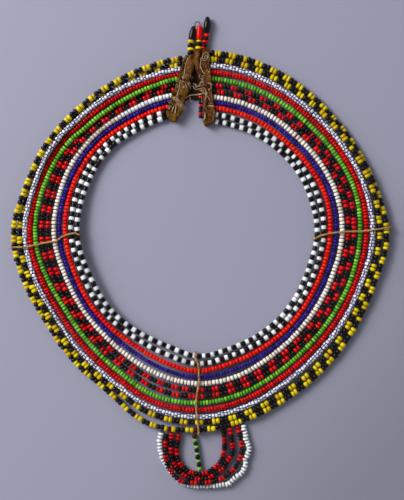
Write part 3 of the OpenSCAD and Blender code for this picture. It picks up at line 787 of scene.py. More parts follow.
def stretches(k):
    """The paths of strand k's beads between hide ends and spacers, with the lengths that their
    beads are counted by"""
    stops = [crossing(k, s) for s in range(len(SPACERS))]
    clear = math.degrees(BEADS_FROM_SPACER / float(strand_r(k, stops[0])))
    first = left_angle(k)
    first -= math.degrees(LEFT_TUCK[k] / float(strand_r(k, first)))
    starts = [first] + [a + clear for a in stops]
    finishes = [a - clear for a in stops] + [right_angle(k)]
    for i, (start, finish) in enumerate(zip(starts, finishes)):
        a = np.linspace(start, finish, STRETCH_STEPS)
        spacers = 2 if 0 < i < len(SPACERS) else 1
        length = run_along(strand_point(k, a))[-1] - COUNT_SPARE * spacers
        if i == 0:
            length -= LEFT_TUCK[k]
        yield shown_point(k, a), length


def bead_looks(k, i, length):
    """The material of each bead in a stretch, or of each side of a striped one"""
    if k in RUNS:
        picks = run_looks(*RUNS[k][i], RUN_SIZE.get(k, 2))
        if (k, i) == WINE_STRETCH:
            picks[WINE_BEADS] = 3
        return picks
    count = round(length / STRANDS[k][2])
    if k == STRIPED:
        return np.tile(np.where(np.isin(np.arange(BEAD_SIDES), STRIPES), 2, 1), (count, 1))
    picks = np.ones(count, int)
    if (k, i) == WHITE_STRETCH:
        picks[:WHITE_BEADS] = 2
    return picks


def make_strung(shell, name, wire, materials, slot):
    """Adds the wire to the beads on it and makes them one piece"""
    add_tube(shell, wire, WIRE_D / 2)
    shell.make("beads_" + name, [WIRE] + [BEADS[look] for look in materials], slot, [name])


def strand(k):
    slot, materials, _ = STRANDS[k]
    threading = OUTER_THREADING if k in OUTERMOST else THREADING
    shell = Shell()
    for i, (path, length) in enumerate(stretches(k)):
        profile = BALL if k in ROUNDER else ROUND
        if k in SQUARER or (k, i) == WHITE_STRETCH:
            profile = CUT
        width = BEAD_D[k] * BULGE[k] * STRETCH_BULGE.get(k, [1] * 5)[i]
        drift = DRIFT[k][i] if k in RUNS else EVEN
        string_beads(shell, path, bead_looks(k, i, length), width, profile, *threading, drift=drift)
    path = shown_point(k, np.linspace(left_angle(k), right_angle(k), STRAND_STEPS))
    make_strung(shell, f"strand_{k + 1}", lengthened(path, WIRE_REACH, WIRE_REACH), materials, slot)


for k in range(len(BEAD_D)):
    strand(k)


# The pendant
def pendant(name, route, picks, materials, slot, reach, width=PENDANT_BEAD_D, climb=0, **more):
    """One strand of the pendant; reach is how far its beads go past the route's two ends"""
    heights = mix(PENDANT_Z, OVER_Z, np.zeros(len(route)) + climb)
    path = smooth_path(np.column_stack([route, heights]), 0.5)
    shell = Shell()
    string_beads(shell, lengthened(path, *reach), picks, width, BALL, **more)
    wire = lengthened(path, reach[0] + WIRE_TAIL, reach[1] + WIRE_TAIL)
    wire[[0, -1], 2] = WIRE_TAIL_Z
    make_strung(shell, name, wire, materials, slot)


CENTRE_PICKS = np.array([3, 1, 2, 1, 2, 1, 2, 1, 2, 1])
# Its black beads are larger than the green ones
CENTRE_SIZES = np.where(CENTRE_PICKS == 1, 0.84, 1.2)
RED_BLACK = (["crimson", "black"], "beads_red")
pendant("pendant_white", PENDANT_WHITE, np.ones(53, int), ["white"], "beads_white", (0.8, 2.6),
        fill=0.92, stray=0.13, lean=0.11)
pendant("pendant_outer", PENDANT_OUTER, run_looks(44, False, {}), *RED_BLACK, (1.0, 2.9),
        climb=OUTER_CLIMB)
pendant("pendant_middle", PENDANT_MIDDLE, run_looks(38, True, {}), *RED_BLACK, (1.3, 1.8))
pendant("pendant_inner", PENDANT_INNER, run_looks(32, True, {}), *RED_BLACK, (0.9, 2.4))
pendant("pendant_centre", PENDANT_CENTRE, CENTRE_PICKS, ["green", "black", "wine"], "beads_green",
        (0.7, 0), 2.5, sizes=CENTRE_SIZES)


# The fastening
def fastening_string(name, route, picks, light, slot, width=3.0, foot=1, stop=3):
    """A string with light and black beads from one point of its route to another"""
    points = [[x, y, STRING_Z] for x, y in route]
    shell = Shell()
    string_beads(shell, smooth_path(points[foot:stop + 1], 0.4), picks, width, BALL, spread=0.1)
    make_strung(shell, name, smooth_path(points, 0.8), [light, "black"], slot)


fastening_string("string_left", STRING_LEFT, [2, 1, 2, 1], "yellow", "beads_yellow", 3.7)
fastening_string("string_middle", STRING_MIDDLE, [1, 2, 1], "yellow", "beads_yellow", 3.4)
fastening_string("string_right", STRING_RIGHT, [1, 2, 1, 2, 1], "orange", "beads_red")
fastening_string("string_inner", STRING_INNER, [1, 2, 2, 1, 2, 2, 1, 2], "red", "beads_red", 2.5, 0, 2)


def end_bead(name, route, width, length, profile, look):
    """A turned bead on the last stretch of a string, drilled along its axis"""
    foot = np.array([*route[3], STRING_Z])
    way = unit(np.array([*route[4], STRING_Z]) - foot)
    bore = END_BORE_R / (width / 2)
    rows = np.concatenate([[[0, bore]], smooth_path(profile, 0.03), [[1, bore]]])
    centres = foot + (SEAT_GAP + rows[:, :1] * length) * way
    ways = np.tile(way, (len(rows), 1))
    points = rings(centres, ways, rows[:, 1] * width / 2, TURNED_SIDES)
    shell = Shell()
    shell.add_sleeve(points, TURNED_SIDES, 0.4, closed=True)
    shell.make("turned_" + name, [BEADS[look]], "beads_" + look, [name])


end_bead("drop_bead", STRING_LEFT, 3.8, 7.4, DROP, "black")
end_bead("barrel_bead", STRING_MIDDLE, 3.6, 7.4, BARREL, "scarlet")
end_bead("spindle_bead", STRING_RIGHT, 4.0, 8.8, SPINDLE, "black")


def wire_loop():
    """The ring above the drop and barrel beads, as a bent wire with a leg down to each"""
    turn = np.radians(np.linspace(232, -52, 40))
    loop = np.stack([LOOP_X + LOOP_R * np.cos(turn), LOOP_Y + LOOP_R * np.sin(turn),
                     STRING_Z + LOOP_TWIST * np.cos(turn)], axis=1)
    left = [[*LOOP_LEFT, STRING_Z], [*LOOP_LEFT_BEND, STRING_Z - LOOP_TWIST]]
    right = [[*LOOP_RIGHT_BEND, STRING_Z + LOOP_TWIST], [*LOOP_RIGHT, STRING_Z]]
    shell = Shell()
    add_tube(shell, smooth_path([*left, *loop[::3], *right], 0.2), LOOP_WIRE_R, 8)
    shell.make("wire_loop", [WIRE], "wire", ["wire_ring"])


wire_loop()


# Spacers: hide strips on edge, worn lower and thinner between the beads than their solids
SPACER_SHOWN_T = 0.55
SPACER_SHOWN_EDGE = 0.45
SPACER_STEPS = 90
SPACER_SIDES = 10
SPACER_SQUARE = 0.35


def wave(x, y, z, size):
    return noise.noise(Vector((x / size, y / size, z / size)))


def squared(v, power):
    """A sine or cosine for a section that is squarer than round, with a power below 1"""
    return math.copysign(abs(v) ** power, v)


def spacer(s):
    inner = spacer_end(s, 0, SPACER_INNER_R)
    along = spacer_along(s)
    through = np.cross(UP, along)
    marks = [strand_point(k, crossing(k, s)) for k in range(len(BEAD_D))]
    places = np.array([[(p - inner) @ along, p[2]] for p in marks])
    reach = np.linspace(places[0, 0] - SPACER_TIP, places[-1, 0] + SPACER_TIP, SPACER_STEPS)
    points = []
    for x, z in zip(reach, np.interp(reach, places[:, 0], places[:, 1])):
        top = z + SPACER_SHOWN_EDGE + 0.25 * wave(x, s * 9, 0, 1.6)
        foot = max(SPACER_FOOT, z - SPACER_EDGE)
        drift = 0.09 * wave(x, s * 9, 5, 4)
        for j in range(SPACER_SIDES):
            turn = 2 * math.pi * (j + 0.5) / SPACER_SIDES
            thick = SPACER_SHOWN_T / 2 * (1 + 0.2 * wave(x, j, s * 3, 1.5))
            side = squared(math.cos(turn), SPACER_SQUARE) * thick
            lift = squared(math.sin(turn), SPACER_SQUARE)
            height = (top + foot) / 2 + lift * (top - foot) / 2
            points.append(inner + x * along + (side + drift) * through + height * UP)
    shell = Shell()
    shell.add_sleeve(np.array(points), SPACER_SIDES)
    name = f"spacer_{s + 1}"
    shell.make("hide_" + name, [SPACER_HIDE], "spacer_hide", [name])


for s in range(len(SPACERS)):
    spacer(s)


# Ties: three plies of thong, twisted round each other
TIE_STEP = 0.35
TIE_TWIST = 5.0
PLIES = 3
PLY_R = 0.3
PLY_OFF = 0.24


def round_angle(p):
    a = math.degrees(math.atan2(p[1], p[0]))
    return a + 360 if a < 90 else a


def tie_top(p):
    a = round_angle(p)
    r = math.hypot(p[0], p[1])
    near = [strand_z(k, a) + BEAD_D[k] / 2 for k in range(len(BEAD_D))
            if abs(strand_r(k, a) - r) < BEAD_D[k] / 2 + TIE_SIDE]
    return max(near) + TIE_GAP + TIE_D / 2


def tie_route(plan):
    """The loop over the strands, down at the edge, back below and up again"""
    inner = np.array([*plan[0], 0.0])
    outer = np.array([*plan[-1], 0.0])
    out = unit(outer - inner)
    low = TIE_D / 2 + TIE_FOOT
    upper = [[x, y, tie_top((x, y))] for x, y in plan]
    beside = TIE_GAP + TIE_D / 2
    edge_strand = len(BEAD_D) - 1
    rim = (strand_r(0, round_angle(inner)) - BEAD_D[0] / 2 - beside) * unit(inner)
    edge = (strand_r(edge_strand, round_angle(outer)) + BEAD_D[edge_strand] / 2 + beside)
    edge = edge * unit(outer)
    tuck = TIE_TUCK * out
    lower = [mix(edge - tuck, rim + tuck, i / TIE_STEPS) + low * UP for i in range(TIE_STEPS + 1)]
    down = [edge + (upper[-1][2] - TIE_BEND) * UP, edge + (low + TIE_BEND) * UP]
    back_up = [rim + (low + TIE_BEND) * UP, rim + (upper[0][2] - TIE_BEND) * UP]
    return np.array([*upper, *down, *lower, *back_up]), np.array([-out[1], out[0], 0.0])


def tie(name, plan):
    route, across = tie_route(plan)
    path = smooth_path(route, TIE_STEP, closed=True)[:-1]
    u, v = square_to(travel(path, closed=True), across)
    turns = round(len(path) * TIE_STEP / TIE_TWIST)
    phase = np.linspace(0, 2 * np.pi * turns, len(path), endpoint=False)
    shell = Shell()
    for ply in range(PLIES):
        angle = phase + ply * 2 * np.pi / PLIES
        offset = PLY_OFF * (np.cos(angle)[:, None] * u + np.sin(angle)[:, None] * v)
        add_tube(shell, path + offset, PLY_R, 8, across, True, ply / 2)
    shell.make("thong_" + name, [THONG], "thong", [name])


tie("tie_left", TIE_LEFT)
tie("tie_bottom", TIE_BOTTOM)
tie("tie_right", TIE_RIGHT)


# Hide ends
HIDE_T = 1.2
SLOT_H = 2.0
HIDE_H = 2 * HIDE_T + SLOT_H
HIDE_STEPS = 130
FLAP_STEPS = 30
# Below 1 the back of the fold is squarer than a half round
FOLD_SQUARE = 0.42
# The seam that holds each fold shut, as [y, x]
LEFT_SEAM = [[99.2, -5], [94, -6.7], [87.4, -7.9], [85.5, -9.5], [81.5, -10.2], [76, -11.8],
             [70, -13.2], [62.9, -14]]
RIGHT_SEAM = [[102.1, 1.6], [98, 1.6], [93.3, 1.2], [89.5, 3], [85, 2.8], [82, 3.8], [79, 5.2],
              [72, 5.6], [60.5, 5]]
# The seam is drawn tight above the first of these heights and lies flat below the second
SEAM_TIGHT_FROM = 82
SEAM_SLACK_TO = 74
SLACK_SEAM = 0.12
# How much painted shade darkens the flap beyond the seam
FLAP_SHADE = 0.05
# The fold of the right hide end laps over the left one from this height up
LAP_FROM = 88.5
LAP_TO = 91.5
LAP_W = 1.2
# Olive and dark patches of the hide ends, stains and painted shade where the hide lies in shadow:
# place, size, how olive and how dark
STAINS_AND_SHADE = [
    (-6.6, 79.2, 1.5, 1, 0), (1.4, 87.2, 1.3, 0.9, 0), (-14.4, 63.9, 2.4, 1, 0),
    (3.6, 61, 2, 0.8, 0), (-10.6, 85.8, 1.2, 0.7, 0), (-9.5, 90.5, 1.6, 0.5, 0.2),
    (4.2, 80.6, 1, 0.5, 0), (3.2, 72.6, 1, 0.6, 0), (-13.5, 69.9, 2.2, 0, 1),
    (-11.8, 68.6, 1.2, 0, 0.6), (-15.6, 69, 1.2, 0, 0.7), (-6.6, 82.8, 1, 0, 0.8),
    (-10.6, 88.2, 1, 0, 0.7), (4.1, 97, 1.5, 0, 0.7), (3, 85.5, 0.9, 0, 0.8),
    (5.6, 82.4, 1, 0, 0.6), (5.2, 69, 1.1, 0, 0.7), (7.6, 66.4, 1.2, 0, 0.5),
    (3.6, 64.6, 1, 0, 0.7), (-9.2, 76.4, 1, 0, 0.6), (6.2, 74.6, 1.2, 0, 0.4),
    (-4, 95.6, 1.7, 0, -0.6), (-5, 92, 1.8, 0, -0.7), (-6, 87.4, 1.8, 0, -0.6),
    (0.3, 99.6, 1.5, 0, -0.7), (0.1, 94.6, 1.6, 0, -0.6), (-9.6, 79.6, 1.2, 0, -0.4),
    (5.4, 94, 1.2, 0, -0.3),
]
# The rim of each upper flap curls over this width, and no strip is narrower than LEAST_W
RIM_W = 2.2
LEAST_W = 1.2
# Short hairs on the hide, and the dark sheet of painted shadow below the two ends
HAIRS = 48
HAIR_R = 0.085
UNDER_TOP = 97.5
UNDER_FOOT = 75
UNDER_STEPS = 44
UNDER_COLUMNS = 24
UNDER_TUCK = 0.3
UNDER_Z = 0.75


def clamp(value):
    return min(1.0, max(0.0, value))


def edge_x(edge, y):
    """Where an edge of a hide end lies at height y, with its corners eased"""
    rows = np.array(sorted(edge))
    return np.mean([np.interp(y + o, rows[:, 0], rows[:, 1]) for o in (-0.7, 0, 0.7)])


def hide_section(width):
    """One cut across the folded strip: distance from the fold's back, and height"""
    fold = min(HIDE_H / 2, 0.45 * width)
    outer = [(fold + share * (width - fold), HIDE_H) for share in np.linspace(1, 0, FLAP_STEPS)]
    for turn in np.linspace(0, 180, 13)[1:-1]:
        a = math.radians(turn)
        rise = squared(math.cos(a), FOLD_SQUARE)
        outer.append((fold - fold * math.sin(a) ** FOLD_SQUARE, HIDE_H / 2 * (1 + rise)))
    outer += [(d, 0.0) for d, _ in outer[FLAP_STEPS - 1::-1]]
    core = min(1.3, 0.3 * width)
    back = core + 0.6
    half = FLAP_STEPS // 2
    slot = [(back + share * (width - back), HIDE_T) for share in np.linspace(1, 0, half)]
    slot += [(core + 0.15, HIDE_T + 0.4), (core, HIDE_H / 2), (core + 0.15, HIDE_H - HIDE_T - 0.4)]
    slot += [(d, HIDE_H - HIDE_T) for d, _ in slot[half - 1::-1]]
    return outer, slot


def rim_curl(y, width, d, seed):
    """How near the rim a place on the flap is, from 0 to 1, and how high the rim curls there"""
    rim = max(0.0, 1 - (width - d) / RIM_W)
    return rim, rim ** 2 * (0.5 + 1.3 * wave(y, seed, 20, 4.2))


def hide_top(x, y, width, d, seam_d, seed):
    """How the upper flap swells and sinks: a roll behind the seam, a groove along it and a
    curled rim beyond it. Also says how worn the place is, and how much painted shade darkens it
    in the groove, in the sunken creases and beyond the seam"""
    tight = min(1.0, max(SLACK_SEAM, (y - SEAM_SLACK_TO) / (SEAM_TIGHT_FROM - SEAM_SLACK_TO)))
    groove = tight * math.exp(-((d - seam_d) / 0.55) ** 2)
    swell = math.sin(math.pi * clamp(d / seam_d)) ** 0.7 if d < seam_d else 0
    rim, curl = rim_curl(y, width, d, seed)
    creases = 0.42 * wave(x * 1.4, y * 0.45, seed, 1.6) + 0.4 * wave(x, y, seed + 3, 3.6)
    pucker = 0.4 * wave(x * 0.5, y * 1.6, seed + 8, 1.5) * (1 - abs(d - seam_d) / width)
    creases += 0.16 * wave(x, y, seed + 14, 0.9)
    lift = 0.4 * swell - 0.8 * groove + creases + pucker + curl
    if d > seam_d:
        lift -= 0.2 * tight
    # Painted shade: the flap beyond the seam, the seam's groove and the sunken creases are drawn darker
    beyond = clamp((d - seam_d) / 0.6) * FLAP_SHADE
    return lift, rim, min(1.0, beyond + 0.7 * groove + max(0.0, -creases * 1.15))


def stain(x, y):
    """How olive and how dark the hide is drawn at a place, from stains and painted shade; a negative
    dark is a paler patch
    """
    olive = 0.0
    dark = 0.0
    for spot_x, spot_y, size, is_olive, is_dark in STAINS_AND_SHADE:
        near = math.exp(-((x - spot_x) ** 2 + (y - spot_y) ** 2) / size ** 2)
        olive += near * is_olive
        dark += near * is_dark
    return olive, dark


def hide_point(x_in, width, side, d, z, y, span, seam, seed, outside):
    """One point of the folded strip, with how worn it is there and how dark it is drawn, from stains
    and from painted shade
    """
    x = x_in + side * d
    near_end = max(0.0, 1 - min(y - span[1], span[0] - y) / 1.5)
    worn = 0.0
    deep = 0.0
    olive, dark = stain(x, y)
    if outside and z > HIDE_H / 2:
        seam_d = min(width - 1.0, max(1.2, abs(seam - x_in)))
        lift, rim, deep = hide_top(x, y, width, d, seam_d, seed)
        flat = min(1.0, (z - HIDE_H / 2) / (HIDE_H / 2))
        z += flat * (lift + 0.6 * near_end ** 2)
        worn = max(rim ** 2, near_end)
    elif z > HIDE_H / 2:
        z += rim_curl(y, width, d, seed)[1] - 0.35
    elif z > 0.3:
        z += 0.15 * wave(x, y, seed + 7, 3)
    x += 0.22 * wave(y, z, seed + 5, 2.4)
    place = (x, y + 0.3 * near_end * wave(x, z, seed, 1.3), z)
    return place, min(1.0, worn + olive), min(1.0, deep + dark)


def cap_faces(ring, split, flip):
    """Faces between the outside and the slot that close one end of the strip"""
    slot = len(ring) - split
    faces = []
    for i in range(split - 1):
        before = split + round((slot - 1) * (1 - i / (split - 1)))
        after = split + round((slot - 1) * (1 - (i + 1) / (split - 1)))
        corners = [ring[i], ring[i + 1], ring[after]]
        if before != after:
            corners.append(ring[before])
        faces.append(corners[::-1] if flip else corners)
    return faces


def hide_end(name, outer_edge, inner_edge, foot_edge, seam_edge, side, seed, lap, look):
    outer_edge = outer_edge + foot_edge
    span = (inner_edge[0][0], foot_edge[-1][0])
    rows = []
    for y in np.linspace(*span, HIDE_STEPS):
        x_in = edge_x(inner_edge[:-1], y) + 0.22 * wave(y, seed, 0, 2.2)
        x_out = edge_x(outer_edge, y) + 0.5 * wave(y, seed, 9, 1.7) + 0.2 * wave(y, 3, seed, 0.7)
        x_in -= side * lap * clamp((y - LAP_FROM) / (LAP_TO - LAP_FROM))
        width = max(LEAST_W, abs(x_out - x_in))
        x_in = x_out - side * width
        seam = edge_x(seam_edge, y)
        outer, slot = hide_section(width)
        for i, (d, z) in enumerate(outer + slot):
            rows.append(hide_point(x_in, width, side, d, z, y, span, seam, seed, i < len(outer)))
    points, worn, deep = (np.array(values) for values in zip(*rows))
    split = len(outer)
    sides = split + len(slot)
    faces = grid_faces(HIDE_STEPS, sides)
    shell = Shell()
    shell.add(points, faces[:, ::-1] if side < 0 else faces, 0, deep, worn)
    last = (HIDE_STEPS - 1) * sides
    for first, flip in ((0, side > 0), (last, side < 0)):
        for corners in cap_faces(list(range(first, first + sides)), split, flip):
            shell.close(corners)
    shell.make("hide_" + name, [look], "hide", [name])
    return BVHTree.FromPolygons(points.tolist(), shell.faces)


HIDES = [
    hide_end("hide_end_left", LEFT_END_OUTER, LEFT_END_INNER, [[62.9, -14.6]], LEFT_SEAM, -1,
             11.3, 0, HIDE_LEFT),
    hide_end("hide_end_right", RIGHT_END_OUTER, RIGHT_END_INNER, [[61, 6.6], [60.5, 3.6]],
             RIGHT_SEAM, 1, 47.1, LAP_W, HIDE_RIGHT),
]


def under_flap():
    """A low, ragged dark sheet that fills the wedge between the two ends: painted shadow, where the
    floor there lies in their shade
    """
    rows = []
    for share in np.linspace(0, 1, UNDER_STEPS):
        ring = []
        for across in np.linspace(0, 1, UNDER_COLUMNS):
            low_end = UNDER_FOOT + 2 * wave(across * 9, 4, 1, 1.2)
            y = mix(UNDER_TOP, low_end, share)
            left = edge_x(LEFT_END_INNER[:-1], y) - UNDER_TUCK
            right = edge_x(RIGHT_END_INNER[:-1], y) + UNDER_TUCK
            x = mix(left, right, across)
            z = UNDER_Z + 0.45 * wave(x, y, 6, 1.6) + 0.3 * wave(x, y, 2, 0.8)
            z += 0.4 * math.sin(math.pi * across) * (1 - share)
            ring.append((x, y, max(0.3, z)))
        rows += ring + [(x, y, 0.08) for x, y, _ in ring[::-1]]
    shell = Shell()
    tone = rng.uniform(0, 0.5, len(rows))
    shell.add_sleeve(np.array(rows), 2 * UNDER_COLUMNS, tone, flip=True)
    shell.make("hide_under_flap", [PAINTED_SHADOW], "hide")


under_flap()

# Stitches as [x, y] routes from hole to hole, and loose threads that end in the open
STITCHES = [
    [[-5.3, 98.1], [-6.1, 95.8], [-6.8, 93.9], [-7.4, 90.5], [-7.8, 87.6]],
    [[-9.7, 85.8], [-10, 83.6], [-10.2, 81.8], [-11, 78.6], [-11.8, 76.2]],
    [[-12, 71.1], [-12.3, 69], [-12.6, 67]], [[-13.6, 70.6], [-14, 69.2], [-14.2, 68]],
    [[-16.2, 69.4], [-15.4, 70.2], [-14.6, 70.6]],
    [[1.7, 98.3], [1.5, 95.6], [1.2, 93.3], [2, 91.2], [3.1, 89.4], [4.3, 89]],
    [[2.9, 87.4], [2.7, 86.2], [2.7, 85.2]], [[1.8, 84.9], [2.6, 84.3], [3.4, 83.2]],
    [[3.4, 81.2], [4, 80.2], [4.6, 79], [5.4, 77.9]], [[3.9, 66.9], [3.7, 65], [3.1, 63.3]],
    [[5.1, 83.8], [6.6, 83.5], [8, 82.7]], [[6, 71.4], [7.6, 71.2], [9, 70.9]],
]
KNOTS = [(-12.9, 75.4, 1.0), (-8.1, 86.8, 0.6), (4.5, 78, 0.8), (-7.9, 81.5, 0.55)]
FRAYS = [
    [[-13.2, 76.2], [-10.7, 73.4], [-8.4, 70.8], [-6.5, 69]],
    [[-12.6, 76.4], [-10, 73.8], [-7.6, 71.2], [-6, 69.8]],
    [[-13.4, 75.6], [-11.6, 73], [-9.4, 70.4], [-7.6, 68.6]],
    [[-12.9, 76], [-10.6, 72.9], [-8.8, 71], [-7, 68.4]], [[-12.6, 75.6], [-14, 76.6], [-15.1, 76.9]],
    [[3.9, 77.6], [2.7, 78.9], [1.4, 79.8], [0.2, 80.2]],
    [[3.6, 79], [2.6, 80.1], [1.3, 80.9], [0, 80.7]], [[4.6, 78.4], [4, 80], [3.2, 81.4]],
    [[-2.6, 82.4], [-2.1, 80.9], [-1, 80.3], [0.3, 80.9]],
    [[-2.6, 83.6], [-1.4, 83.1], [-0.4, 82.1], [0.4, 82.5]], [[0.7, 82.2], [1.2, 83.1], [1.9, 83.8]],
    [[-4.6, 76.2], [-4.1, 74.6], [-3.4, 73]], [[1.9, 76.4], [2, 74.8], [1.8, 73.2]],
    [[-6.9, 83.3], [-6.5, 82.2], [-6.1, 81.1]],
    [[-5.5, 83.9], [-4.4, 81.7], [-4.1, 80.6]], [[-4.7, 84.2], [-5.1, 83.2], [-5.5, 82.5]],
    [[0.6, 83.2], [1.6, 84.3], [2.9, 83.6], [3.4, 82.3]],
    [[2, 87.2], [3.2, 88.2], [4.4, 87.6]], [[4.2, 77.4], [5.6, 76], [6.4, 74.2]],
    [[4.2, 77.4], [4.4, 75.8], [3.6, 74.4]], [[3.7, 67.6], [3.9, 65.8], [4.2, 64.2]],
    [[-13.1, 71.4], [-13.5, 70.2], [-13.8, 69]], [[-12, 72], [-12.2, 70], [-12.7, 67.9]],
    [[-16.6, 70.1], [-15.8, 70.9], [-15, 71]],
]
COILS = [(4, 98.4, 2.3, 1.5, 74), (4.3, 98, 0.9, 0.7, 50)]
# Loose ends: how many, where they start, how far and which way they go, in degrees, and how
# much they spread
TUFTS = [
    (4, (-13, 75), 2.6, 150, 70), (3, (1.4, 82), 3.2, 165, 100), (5, (-4.4, 83.4), 2.4, -70, 120),
    (5, (-0.8, 83), 2.0, 200, 220), (3, (2.4, 86.2), 1.8, 60, 160),
    (3, (-10.4, 84), 1.8, 200, 100), (2, (-14.6, 71.6), 2.6, 268, 50),
    (4, (5.6, 90.6), 1.8, 30, 140), (3, (-7.6, 87.4), 1.8, 100, 90), (4, (6.4, 80), 2.0, 20, 170),
    (5, (-3.2, 87.6), 1.8, 250, 140),
]
TUFT_R = 0.12
BRIDGE = [[4, 78.2], [2, 77.9], [0, 77.8], [-2.6, 77.6], [-4.8, 76.9], [-6.6, 75.7]]
BRIDGE_THREADS = 3
STITCH_R = 0.26
FRAY_R = 0.15
THREAD_STEP = 0.3
TUFT_STEPS = 4


def height_at(x, y, otherwise):
    """The height of the hide ends at a place in plan, found from above"""
    tops = [tree.ray_cast(Vector((x, y, 20)), Vector((0, 0, -1)))[0] for tree in HIDES]
    return max([top.z for top in tops if top] + [otherwise])


def thread(shell, route, radius, sink, sag, otherwise):
    """A thread over the hide: its ends go down into their holes by sink"""
    flat = smooth_path([[x, y, 0] for x, y in route], THREAD_STEP)
    share = np.linspace(0, 1, len(flat))
    heights = np.array([height_at(x, y, otherwise) for x, y, _ in flat])
    eased = np.array([heights[max(0, i - 2):i + 3].max() for i in range(len(heights))])
    hole = np.exp(-share * len(flat) * 0.9) + np.exp(-(1 - share) * len(flat) * 0.9)
    flat[:, 2] = eased + radius * 0.8 - sink * hole + sag * np.sin(np.pi * share)
    add_tube(shell, flat, radius, tone=rng.uniform(0, 1))


def coil(shell, x, y, long, short, turn):
    """A loop of thread that lies on the hide"""
    angle = full_turn(30)
    a = math.radians(turn)
    across = long * np.cos(angle) * math.cos(a) - short * np.sin(angle) * math.sin(a)
    along = long * np.cos(angle) * math.sin(a) + short * np.sin(angle) * math.cos(a)
    path = [[x + u, y + v, height_at(x + u, y + v, 3.5) + 0.25] for u, v in zip(across, along)]
    path = np.array(path)
    path[:, 2] = np.maximum(path[:, 2], path[:, 2].mean())
    add_tube(shell, path, FRAY_R, closed=True, tone=rng.uniform(0, 1))


def knot(shell, x, y, size):
    z = height_at(x, y, 4) + 0.25
    angle = full_turn(18)
    for i in range(3):
        tilt = i * 1.1
        path = np.stack([x + size * np.cos(angle) * math.cos(tilt),
                         y + size * np.cos(angle) * math.sin(tilt) + 0.35 * size * np.sin(angle),
                         z + 0.45 * size * np.sin(angle + i)], axis=1)
        add_tube(shell, path, FRAY_R * 1.25, closed=True, tone=rng.uniform(0, 1))


def tuft(shell, count, start, long, heading, spread):
    """Loose thread ends that fan out from one place"""
    for _ in range(count):
        way = math.radians(heading + rng.uniform(-spread, spread) / 2)
        bend = math.radians(rng.uniform(-50, 50))
        step = long * rng.uniform(0.55, 1.0) / TUFT_STEPS
        place = np.array(start) + rng.normal(0, 0.6, 2)
        route = [place]
        for _ in range(TUFT_STEPS):
            place = place + step * np.array([math.cos(way), math.sin(way)])
            way += bend / TUFT_STEPS + rng.normal(0, 0.12)
            route.append(place)
        thread(shell, route, TUFT_R * rng.uniform(0.7, 1.1), 0.1, 0.25, 1.6)


HIDE_EDGES = [(LEFT_END_INNER, LEFT_END_OUTER), (RIGHT_END_INNER, RIGHT_END_OUTER)]


def hairs(shell):
    """Short hairs and fibres that lie all over the two hide ends"""
    for _ in range(HAIRS):
        y = rng.uniform(62, 98.5)
        inner, outer = HIDE_EDGES[0 if rng.uniform() < 0.5 else 1]
        x = mix(edge_x(inner[:-1], y), edge_x(outer, y), rng.uniform(0.08, 1))
        way = rng.uniform(0, 2 * math.pi)
        step = rng.uniform(0.3, 0.65) * np.array([math.cos(way), math.sin(way)])
        curl = rng.uniform(-0.25, 0.25) * np.array([-math.sin(way), math.cos(way)])
        middle = np.array([x, y])
        thread(shell, [middle - step, middle + curl, middle + step], HAIR_R, 0.05, 0.05, 0.3)


def stitching():
    shell = Shell()
    hairs(shell)
    for tuft_plan in TUFTS:
        tuft(shell, *tuft_plan)
    for _ in range(BRIDGE_THREADS):
        route = np.array(BRIDGE) + rng.normal(0, 0.16, (len(BRIDGE), 2))
        thread(shell, route, FRAY_R, 0.1, 0, 3.2)
    for route in STITCHES:
        thread(shell, route, STITCH_R, 0.8, 0, 3.6)
    for route in FRAYS:
        thread(shell, route, FRAY_R, 0.1, 0.3, 3.4)
    for x, y, size in KNOTS:
        knot(shell, x, y, size)
    for x, y, long, short, turn in COILS:
        coil(shell, x, y, long, short, turn)
    shell.make("stitching", [FIBRE], "thong")


stitching()


# Surroundings
FLOOR_Z = -0.0004
FLOOR_SIZE = 2.4
# The floor's colour is painted darker away from the window, a painted shade: which way, and
# between which distances from the middle, in metres
DUSK_WAY = (0.75, -0.66, 0)
DUSK_FROM = 0.06
DUSK_TO = 0.16
LIGHT_TURN = 149
LIGHT_TILT = 36
LIGHT_FAR = 1.4
LIGHT_COLOUR = (1.0, 0.985, 0.96)
# A large soft window, and a small bright pane of it for crisp highlights on the glass
WINDOW_ENERGY = 16.6
WINDOW_SIZE = 1.0
PANE_ENERGY = 8.7
PANE_SIZE = 0.34
# The camera looks straight down, and sees FRAME_HEIGHT metres from top to bottom at SCALE_Z,
# about the height of the beads' middles
CAMERA_PLACE = (0.00215, -0.00775)
FRAME_HEIGHT = 0.275
SCALE_Z = 0.0025
LENS = 85
SENSOR = 36


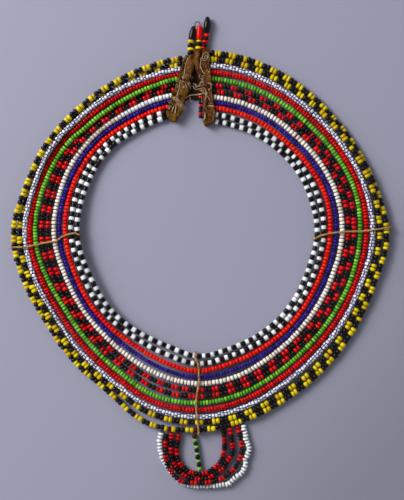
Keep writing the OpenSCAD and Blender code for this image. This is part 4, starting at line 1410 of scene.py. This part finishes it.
def floor():
    half = FLOOR_SIZE / 2
    mesh = bpy.data.meshes.new("floor")
    mesh.from_pydata([(-half, -half, FLOOR_Z), (half, -half, FLOOR_Z), (half, half, FLOOR_Z),
                      (-half, half, FLOOR_Z)], [], [(0, 1, 2, 3)])
    paint = Paint(bpy.data.materials.new("floor_pale"))
    colour = paint.ramp(paint.noise(3), (0.3, (0.326, 0.328, 0.436, 1)), (0.7, (0.336, 0.338, 0.448, 1)))
    turned = paint.node("VectorMath", {})
    turned.operation = "DOT_PRODUCT"
    paint.fill(turned, {0: paint.node("TexCoord", {}).outputs["Object"], 1: DUSK_WAY})
    painted_dusk = paint.span(turned.outputs["Value"], DUSK_FROM, DUSK_TO)
    # Painted shade: the floor turns darker away from the window
    colour = paint.mix(painted_dusk, colour, (0.255, 0.26, 0.325, 1))
    inputs = {"Base Color": colour, "Roughness": 0.9, "Specular IOR Level": 0.1}
    paint.fill(paint.tree.nodes["Principled BSDF"], inputs)
    mesh.materials.append(paint.owner)
    piece = add_object("floor", mesh)


def add_lamp(name, energy, size):
    """A square lamp on the side that the shadows point away from"""
    lamp = bpy.data.lights.new(name, "AREA")
    lamp.energy = energy
    lamp.size = size
    lamp.color = LIGHT_COLOUR
    turn = math.radians(LIGHT_TURN)
    tilt = math.radians(LIGHT_TILT)
    place = LIGHT_FAR * Vector((math.cos(tilt) * math.cos(turn), math.cos(tilt) * math.sin(turn),
                                math.sin(tilt)))
    holder = add_object(name, lamp)
    holder.location = place
    holder.rotation_euler = (-place).to_track_quat("-Z", "Y").to_euler()


def sky():
    """Soft light from all round, dimmer from above than from the sides"""
    paint = Paint(bpy.data.worlds.new("studio"))
    way = paint.node("TexCoord", {}).outputs["Generated"]
    height = paint.node("SeparateXYZ", {"Vector": way}).outputs["Z"]
    colour = paint.ramp(height, (0.0, (0.61, 0.62, 0.64, 1)), (1.0, (0.138, 0.14, 0.145, 1)))
    paint.fill(paint.tree.nodes["Background"], {"Color": colour})
    bpy.context.scene.world = paint.owner


def camera():
    lens = bpy.data.cameras.new("camera")
    lens.lens = LENS
    lens.sensor_width = SENSOR
    lens.clip_start = 0.01
    holder = add_object("camera", lens)
    holder.location = (*CAMERA_PLACE, FRAME_HEIGHT * LENS / SENSOR + SCALE_Z)
    bpy.context.scene.camera = holder


floor()
add_lamp("window", WINDOW_ENERGY, WINDOW_SIZE)
add_lamp("bright_pane", PANE_ENERGY, PANE_SIZE)
sky()
camera()
bpy.context.scene.view_settings.view_transform = "Standard"
